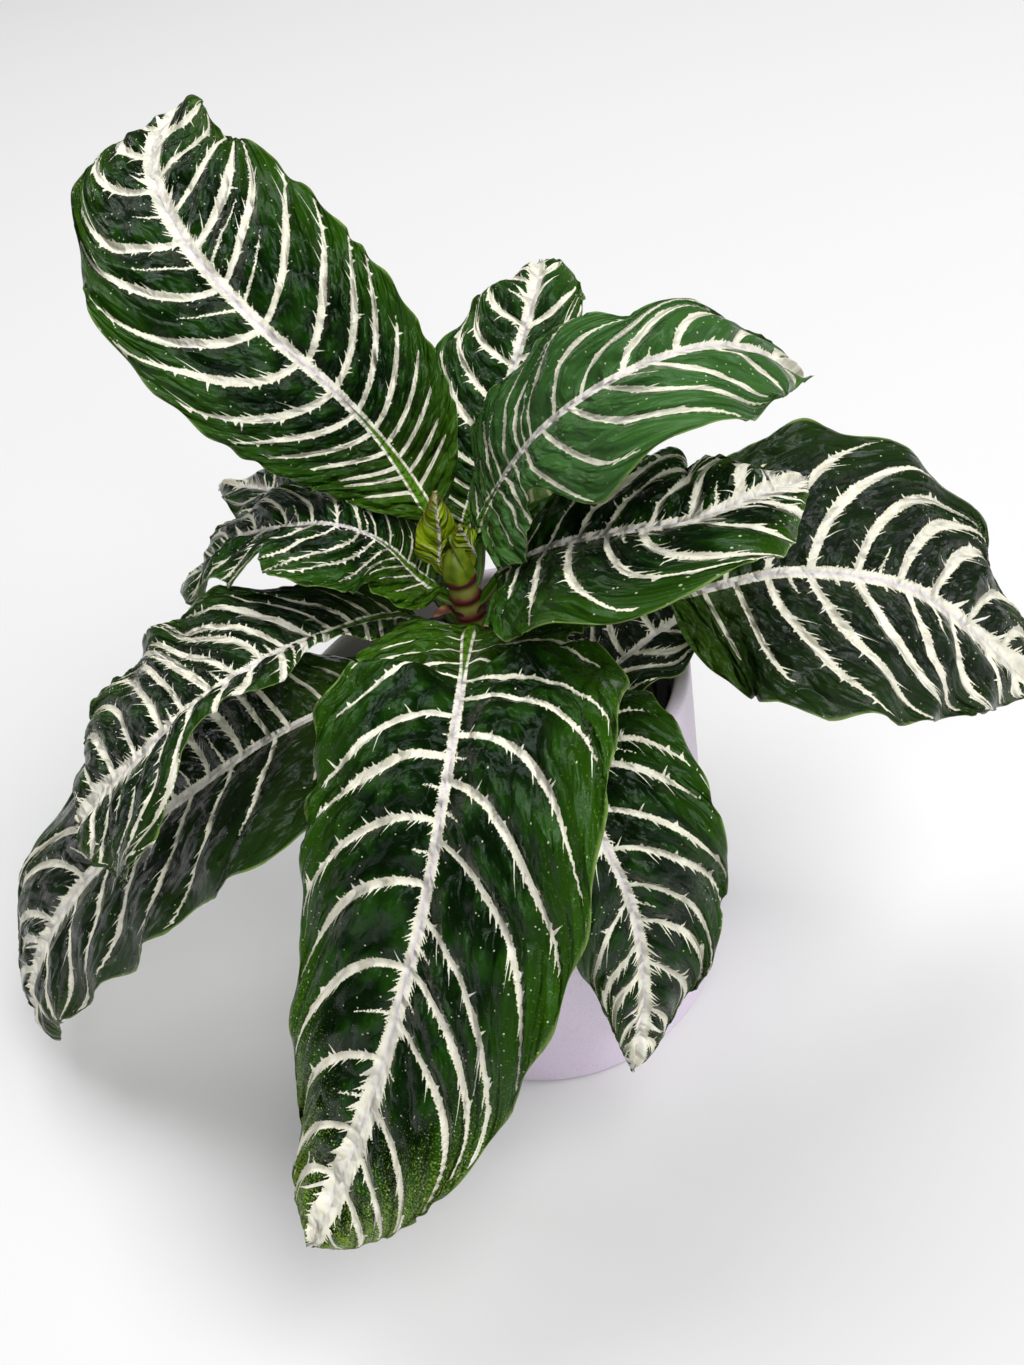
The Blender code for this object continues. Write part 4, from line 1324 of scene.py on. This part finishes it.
def blister_dips(tree, fields, across):
    """0 on top of a blister and about 1 in the dips between them."""
    on_blade = add_node(tree, "CombineXYZ", [fields["vein_phase"], across])
    on_blade = add_node(
        tree, "VectorMath", [on_blade, (BLISTERS_A_VEIN, 1 / BLISTER_LENGTH_MM, 1.0)],
        operation="MULTIPLY",
    )
    bent = add_node(tree, "TexNoise", {"Vector": on_blade, "Scale": 1.3, "Detail": 2.0})
    bent = add_node(
        tree, "VectorMath", [bent.outputs["Color"], (BLISTER_BEND, BLISTER_BEND, 0.0), on_blade],
        operation="MULTIPLY_ADD",
    )
    return add_node(
        tree, "TexVoronoi", {"Vector": bent, "Scale": 1.0, "Smoothness": 0.35},
        feature="SMOOTH_F1", voronoi_dimensions="2D",
    )


def make_leaf_face(name, colours):
    made, tree, surface = new_surface(name)
    fields = read_fields(tree)
    hues = {key: linear(value) for key, value in colours.items()}
    place = add_node(tree, "TexCoord").outputs["Object"]
    patches = add_node(tree, "TexNoise", {"Vector": place, "Scale": 70.0, "Detail": 3.0})
    fine = add_node(tree, "TexNoise", {"Vector": fields["spot"], "Scale": 1.5, "Detail": 3.0})
    clouds = add_node(tree, "TexNoise", {"Vector": fields["spot"], "Scale": 0.35, "Detail": 6.0})
    edge, from_vein, across = stripe_edges(tree, fields, fine)
    dips = blister_dips(tree, fields, across)
    tissue = green_tissue(tree, fields, colours, patches, dips, clouds, fine)

    # Stripes: ivory, warmer in places, lilac along the midrib, with green in its core.
    ivory = add_node(
        tree, "ValToRGB", [clouds], [(0.35, colours["stripe"]), (0.65, colours["stripe_warm"])]
    )
    inner = add_node(tree, "MapRange", [edge, 0.1, 1.1])
    near_rib = add_node(tree, "MapRange", [across, 0.3, 1.4, 0.8, 0.0])
    fading = add_node(tree, "MapRange", [fields["along"], 0.6, 1.0, 1.0, 0.3])
    lilac = add_node(tree, "Math", [near_rib, fading], operation="MULTIPLY")
    pale = mixed(tree, hues["stripe_warm"], (inner, ivory), (lilac, hues["rib"]))
    stripe = add_node(tree, "MapRange", [edge, -EDGE_BLUR_MM, EDGE_BLUR_MM])
    core = add_node(tree, "MapRange", [fields["core_edge"], -0.15, 0.25])
    colour = mixed(tree, tissue, (stripe, pale), (core, hues["core"]))

    # Relief in millimetres: veins sunk into the blade, blisters and a fine pebbling.
    groove = add_node(
        tree, "MapRange", [from_vein, 0.0, GROOVE_HALF_MM, 0.0, GROOVE_MM],
        interpolation_type="SMOOTHSTEP",
    )
    relief = add_node(tree, "Math", [fine, PEBBLE_MM, groove], operation="MULTIPLY_ADD")
    relief = add_node(tree, "Math", [dips, -BLISTER_MM, relief], operation="MULTIPLY_ADD")
    bump = add_node(tree, "Bump", {"Height": relief, "Strength": 1.0, "Distance": MM})
    gloss = add_node(tree, "MapRange", [patches, 0.3, 0.7, 0.17, 0.27])
    dusty = add_node(tree, "MapRange", [fields["age"], 0.5, 0.8])
    sheen = mixed(tree, hues["sheen"], (dusty, hues["dull_sheen"]))
    fill_inputs(tree, surface, {
        "Base Color": colour, "Roughness": gloss, "Normal": bump, "IOR": 1.45,
        "Specular Tint": sheen, "Specular IOR Level": 0.24,
    })
    return made


MATURE = dict(
    deep="061703", middle="0a2104", bright="193b08", fresh="426e34", old="1b2417", margin="2f570c",
    rim="8aa656", fleck="d9dcb8", mottle="8aa544", stripe="f6f4ea", stripe_warm="ebe7d0",
    rib="dcd3d8", core="4f7a16", sheen="cbe6d3", dull_sheen="eeeef4",
)
YOUNG = dict(
    deep="6f8c0c", middle="86a018", bright="a8b82e", fresh="8aa414", old="7a960f", margin="a3ac26",
    rim="b5784e", fleck="c0cc6a", mottle="c4826a", stripe="c6cb8c", stripe_warm="bcc476",
    rib="d4bfc6", core="8a9c22", sheen="cbe6d3", dull_sheen="eeeef4",
)
leaf_face = make_leaf_face("waxy zebra plant leaf", MATURE)
young_face = make_leaf_face("soft young leaf", YOUNG)
print("leaf face nodes:", len(leaf_face.node_tree.nodes))

# %% [markdown]
# The underside has no wax, so it is dull. It is pale olive green, and the side veins stand
# out of it as thin paler cords, about a millimetre wide. They come from the same vein field.

# %% Leaf underside
def make_leaf_underside():
    made, tree, surface = new_surface("dull leaf underside")
    fields = read_fields(tree)
    from_vein = vein_distances(tree, fields)[0]
    cord = add_node(
        tree, "MapRange", [from_vein, 0.35, 1.1, 1.0, 0.0], interpolation_type="SMOOTHSTEP"
    )
    ends = add_node(tree, "MapRange", [fields["reach"], 0.8, 1.0, 1.0, 0.0])
    cord = add_node(tree, "Math", [cord, ends], operation="MULTIPLY")
    rib = add_node(tree, "MapRange", [fields["rib_edge"], -0.2, 0.3])
    pale = add_node(tree, "Math", [cord, rib], operation="MAXIMUM")
    cells = add_node(tree, "TexNoise", {"Vector": fields["spot"], "Scale": 0.7, "Detail": 6.0})
    tissue = add_node(tree, "ValToRGB", [cells], [(0.3, "3c5a1c"), (0.7, "5b7a2c")])
    weight = add_node(tree, "Math", [pale, 0.75], operation="MULTIPLY")
    colour = mixed(tree, tissue, (weight, linear("b6b58a")))
    relief = add_node(tree, "Math", [cells, 0.4, pale], operation="MULTIPLY_ADD")
    bump = add_node(tree, "Bump", {"Height": relief, "Strength": 0.6, "Distance": 0.4 * MM})
    fill_inputs(
        tree, surface, {"Base Color": colour, "Normal": bump, "Roughness": 0.55, "IOR": 1.42}
    )
    return made


underside = make_leaf_underside()
print("underside nodes:", len(underside.node_tree.nodes))

# %% [markdown]
# With the mesh and both materials at hand, every leaf is made in one loop. The two young
# leaves are tiny, so their grid is twice as fine, they are quilted only a little, and they
# are yellow green on both faces.

# %% All the leaves
YOUNG_QUILT = 0.25
YOUNG_STEP_MM = 0.5

leaf_pieces = []
for number, (name, leaf) in enumerate({**LEAVES, **YOUNG_LEAVES}.items()):
    if name in YOUNG_LEAVES:
        look = ("young_leaf", (young_face, young_face), YOUNG_QUILT, YOUNG_STEP_MM)
    else:
        look = ("leaf_blade", (leaf_face, underside))
    leaf_pieces.append(leaf_piece(name, leaf, number, *look))
    print(name, "triangles:", 2 * len(leaf_pieces[-1].data.polygons))
print("all leaves:", sum(2 * len(piece.data.polygons) for piece in leaf_pieces))

# %% [markdown]
# The stem is a green, slightly woody shoot. Each pair of old leaves left a ring scar, which
# is swollen and stained maroon. The rings are part of the turned outline, so they are real
# mesh, and noise then takes away the look of a turned thing.

# %% Stem
TOP_NODE = 197.5
NODE_SPACING = 7.0
NODE_SWELL = 0.6
NODE_HALF_HEIGHT = 1.2
NODE_PROUD = 1.4
STEM_IN_FROM_CAD = 0.35
STEM_DOME = 4.0
STEM_STEPS = 48
STEM_RINGS_MM = 0.8
STEM_UNEVEN = 0.25
STEM_UNEVEN_SIZE = 6.0


def stem_radius(height):
    """The stem's radius at a height: swollen a little at each ring scar."""
    near = abs((height - TOP_NODE + NODE_SPACING / 2) % NODE_SPACING - NODE_SPACING / 2)
    swell = NODE_SWELL * math.exp(-((near / NODE_HALF_HEIGHT) ** 2))
    return STEM_RADIUS - STEM_IN_FROM_CAD + swell * NODE_PROUD


def make_stem():
    shoulder = STEM_TOP - STEM_DOME
    heights = np.arange(STEM_FOOT + STEM_RINGS_MM, shoulder, STEM_RINGS_MM)
    dome = arc_points((0, shoulder), STEM_DOME, 90, 0, 8)
    dome = [(r * STEM_RADIUS / STEM_DOME * 0.93, z) for r, z in dome]
    profile = [(0, STEM_TOP), *dome[1:-1]]
    profile += [(stem_radius(h), h) for h in heights[::-1]]
    profile += [(STEM_RADIUS - 0.4, STEM_FOOT), (0, STEM_FOOT)]
    mesh = turned_mesh("ringed_stem", profile, STEM_STEPS)
    for vertex in mesh.vertices:
        push = perlin.noise(vertex.co / (STEM_UNEVEN_SIZE * MM)) * STEM_UNEVEN * MM
        outward = Vector((vertex.co.x, vertex.co.y, 0))
        if outward.length > 1 * MM:
            vertex.co += outward.normalized() * push
        vertex.co.x += STEM_X * MM
    return place_piece("ringed_stem", mesh, "green_stem", "stem")


stem = make_stem()
print("stem faces:", len(stem.data.polygons))

# %% [markdown]
# A green shoot has a thin skin with a low satin gloss. The maroon of the scars is worked
# out from the height: how far a point is from the nearest ring, which noise blurs, runs
# through a colour ramp from maroon to green.

# %% Green skin of the stem
def make_stem_skin():
    made, tree, surface = new_surface("green stem with maroon ring scars")
    place = add_node(tree, "TexCoord").outputs["Object"]
    height = add_node(tree, "SeparateXYZ", [place]).outputs["Z"]
    rings = add_node(
        tree, "Math", [height, 1 / (NODE_SPACING * MM), -TOP_NODE / NODE_SPACING],
        operation="MULTIPLY_ADD",
    )
    near = add_node(tree, "Math", [rings, 0.5], operation="PINGPONG")
    blotch = add_node(tree, "TexNoise", {"Vector": place, "Scale": 260.0, "Detail": 5.0})
    near = add_node(tree, "Math", [blotch, 0.25, near], operation="MULTIPLY_ADD")
    colour = add_node(
        tree, "ValToRGB", [near],
        [(0.2, "561c22"), (0.3, "6f3a2c"), (0.38, "77702c"), (0.55, "97944a")],
    )
    bump = add_node(tree, "Bump", {"Height": blotch, "Strength": 0.4, "Distance": 0.5 * MM})
    fill_inputs(tree, surface, {"Base Color": colour, "Normal": bump, "Roughness": 0.5})
    return made


stem.data.materials.append(make_stem_skin())
print("stem material:", stem.data.materials[0].name)

# %% [markdown]
# Two kinds of scale sit on the stem. Bracts are the dried scales of old shoots, stiff as
# paper, that hang on at the lower rings and stand away from it. Bud scales are fresh and
# green, and close round the tip of the stem. Each is a small pointed cup that hugs the
# stem, so one function lofts both from a few sections and thickens them.

# %% Bracts and bud scales
BRACTS = (
    dict(bearing=205, height=184, length=10, width=9, flare=60),
    dict(bearing=-25, height=184, length=10, width=10, flare=55),
    dict(bearing=-150, height=177, length=9, width=8, flare=50),
    dict(bearing=25, height=178, length=9, width=8, flare=50),
)
BUD_SCALES = (
    dict(bearing=-90, height=198, length=13, width=9, flare=-26),
    dict(bearing=-25, height=199, length=17, width=9, flare=-18),
    dict(bearing=45, height=200, length=15, width=9, flare=-20),
    dict(bearing=120, height=200, length=14, width=9, flare=-22),
    dict(bearing=195, height=199, length=12, width=9, flare=-24),
)
SCALE_ROWS = 14
SCALE_COLUMNS = 10
SCALE_THICKNESS = 0.35
SCALE_OFF_STEM = 0.4
SCALE_CURL = 0.5


def make_scale(name, scale):
    """A small pointed cup that hugs the stem: a bract or one of the bud's green scales."""
    bearing = math.radians(scale["bearing"])
    out = Vector((math.cos(bearing), math.sin(bearing), 0))
    side = Vector((-out.y, out.x, 0))
    root = Vector((STEM_X, 0, scale["height"]))
    rows = []
    for i in range(SCALE_ROWS + 1):
        t = i / SCALE_ROWS
        half = scale["width"] / 2 * math.sqrt(1 - t) * (0.75 + 0.5 * t)
        flare = math.radians(scale["flare"]) * t
        length = scale["length"] * t
        middle = root + out * (STEM_RADIUS + SCALE_OFF_STEM + length * math.sin(flare))
        middle.z += length * math.cos(flare)
        row = []
        for j in range(SCALE_COLUMNS + 1):
            u = 2 * j / SCALE_COLUMNS - 1
            row.append(middle + side * half * u - out * SCALE_CURL * half * u * u)
        rows.append(row)
    shape = bmesh.new()
    grid = [[shape.verts.new(p * MM) for p in row] for row in rows]
    for low, high in zip(grid, grid[1:]):
        for j in range(SCALE_COLUMNS):
            shape.faces.new((low[j], low[j + 1], high[j + 1], high[j]))
    bmesh.ops.solidify(shape, geom=shape.faces, thickness=SCALE_THICKNESS * MM)
    bmesh.ops.remove_doubles(shape, verts=shape.verts, dist=0.02 * MM)
    bmesh.ops.recalc_face_normals(shape, faces=shape.faces)
    mesh = mesh_from(shape, name)
    mesh.shade_smooth()
    return place_piece(name, mesh, "green_stem")


bracts = [make_scale(f"bract_{i}", scale) for i, scale in enumerate(BRACTS)]
bud_scales = [make_scale(f"bud_scale_{i}", scale) for i, scale in enumerate(BUD_SCALES)]
print("bracts:", len(bracts), "and bud scales:", len(bud_scales))

# %% [markdown]
# A dry bract is papery and streaked brown and maroon, with hardly any gloss. A fresh bud
# scale is a clear yellow green and a little waxy. Both are streaked every 3 to 4 mm.

# %% Dry bract and fresh bud scale
bract_skin = grained_surface(
    "dry brown bract", "TexNoise", {"Scale": 320.0, "Detail": 4.0},
    [(0.35, "4a1f22"), (0.55, "6d4230"), (0.7, "8b6b3c")], 0.55, (0.5, 0.4),
)
bud_skin = grained_surface(
    "fresh green bud scale", "TexNoise", {"Scale": 260.0, "Detail": 4.0},
    [(0.35, "55700e"), (0.65, "7d8f22")], 0.4, (0.4, 0.4),
)
for pieces, skin in ((bracts, bract_skin), (bud_scales, bud_skin)):
    for piece in pieces:
        piece.data.materials.append(skin)
print("scale materials:", bract_skin.name, "and", bud_skin.name)

# %% [markdown]
# The floor is a wide sheet of pale matt paper, as in a photographer's studio. It takes the
# plant's shade, and its own fibres are only a faint relief, about a millimetre wide.

# %% Floor
FLOOR_SIZE = 12.0


def make_floor():
    shape = bmesh.new()
    bmesh.ops.create_grid(shape, x_segments=1, y_segments=1, size=FLOOR_SIZE / 2)
    floor = bpy.data.objects.new("floor", mesh_from(shape, "floor"))
    bpy.context.scene.collection.objects.link(floor)
    made, tree, surface = new_surface("matt white paper sweep")
    place = add_node(tree, "TexCoord").outputs["Object"]
    fibre = add_node(tree, "TexNoise", {"Vector": place, "Scale": 900.0, "Detail": 3.0})
    bump = add_node(tree, "Bump", {"Height": fibre, "Strength": 0.05, "Distance": 0.1 * MM})
    fill_inputs(
        tree, surface, {"Base Color": linear("e6e6e6"), "Roughness": 0.9, "Normal": bump}
    )
    floor.data.materials.append(made)


make_floor()
print("floor in m:", FLOOR_SIZE)

# %% [markdown]
# Soft light comes from four softboxes. The main one is high at the front right, as the
# shade on the floor to the left of the pot shows. A large one hangs above and behind, and
# evens out the floor, a small one fills from behind on the left, and one in front lights
# the blades that hang down towards the camera. A faint white world stands for the walls. The
# view is Standard, because the photograph's whites are plain whites.

# %% Soft light
WORLD_STRENGTH = 0.08


def add_softbox(name, place, aim, size, watts):
    """A rectangular area light at a place, in metres, turned to face another."""
    light = bpy.data.lights.new(name, "AREA")
    light.shape = "RECTANGLE"
    light.size, light.size_y = size
    light.energy = watts
    box = bpy.data.objects.new(name, light)
    box.location = place
    box.rotation_euler = (Vector(aim) - Vector(place)).to_track_quat("-Z", "Y").to_euler()
    bpy.context.scene.collection.objects.link(box)


add_softbox("key_softbox", (1.7, -1.3, 3.0), (0, 0.1, 0), (2.2, 2.2), 98)
add_softbox("top_softbox", (-0.2, 1.5, 3.6), (0, 0.9, 0), (2.6, 2.6), 74)
add_softbox("left_softbox", (-2.6, 2.4, 2.4), (-0.5, 1.4, 0), (1.2, 1.6), 26)
add_softbox("front_softbox", (0.2, -2.6, 2.4), (0, 0, 0.1), (2.0, 1.6), 34)
world = bpy.data.worlds.new("white_studio")
world.use_nodes = True
fill_inputs(
    world.node_tree, world.node_tree.nodes["Background"],
    {"Color": linear("f4f5f7"), "Strength": WORLD_STRENGTH},
)
bpy.context.scene.world = world
bpy.context.scene.view_settings.view_transform = "Standard"
print("softboxes:", [light.name for light in bpy.data.lights])

# %% [markdown]
# Last, the view layer is brought up to date, so that every piece stands where it was placed.

# %% Update
bpy.context.view_layer.update()
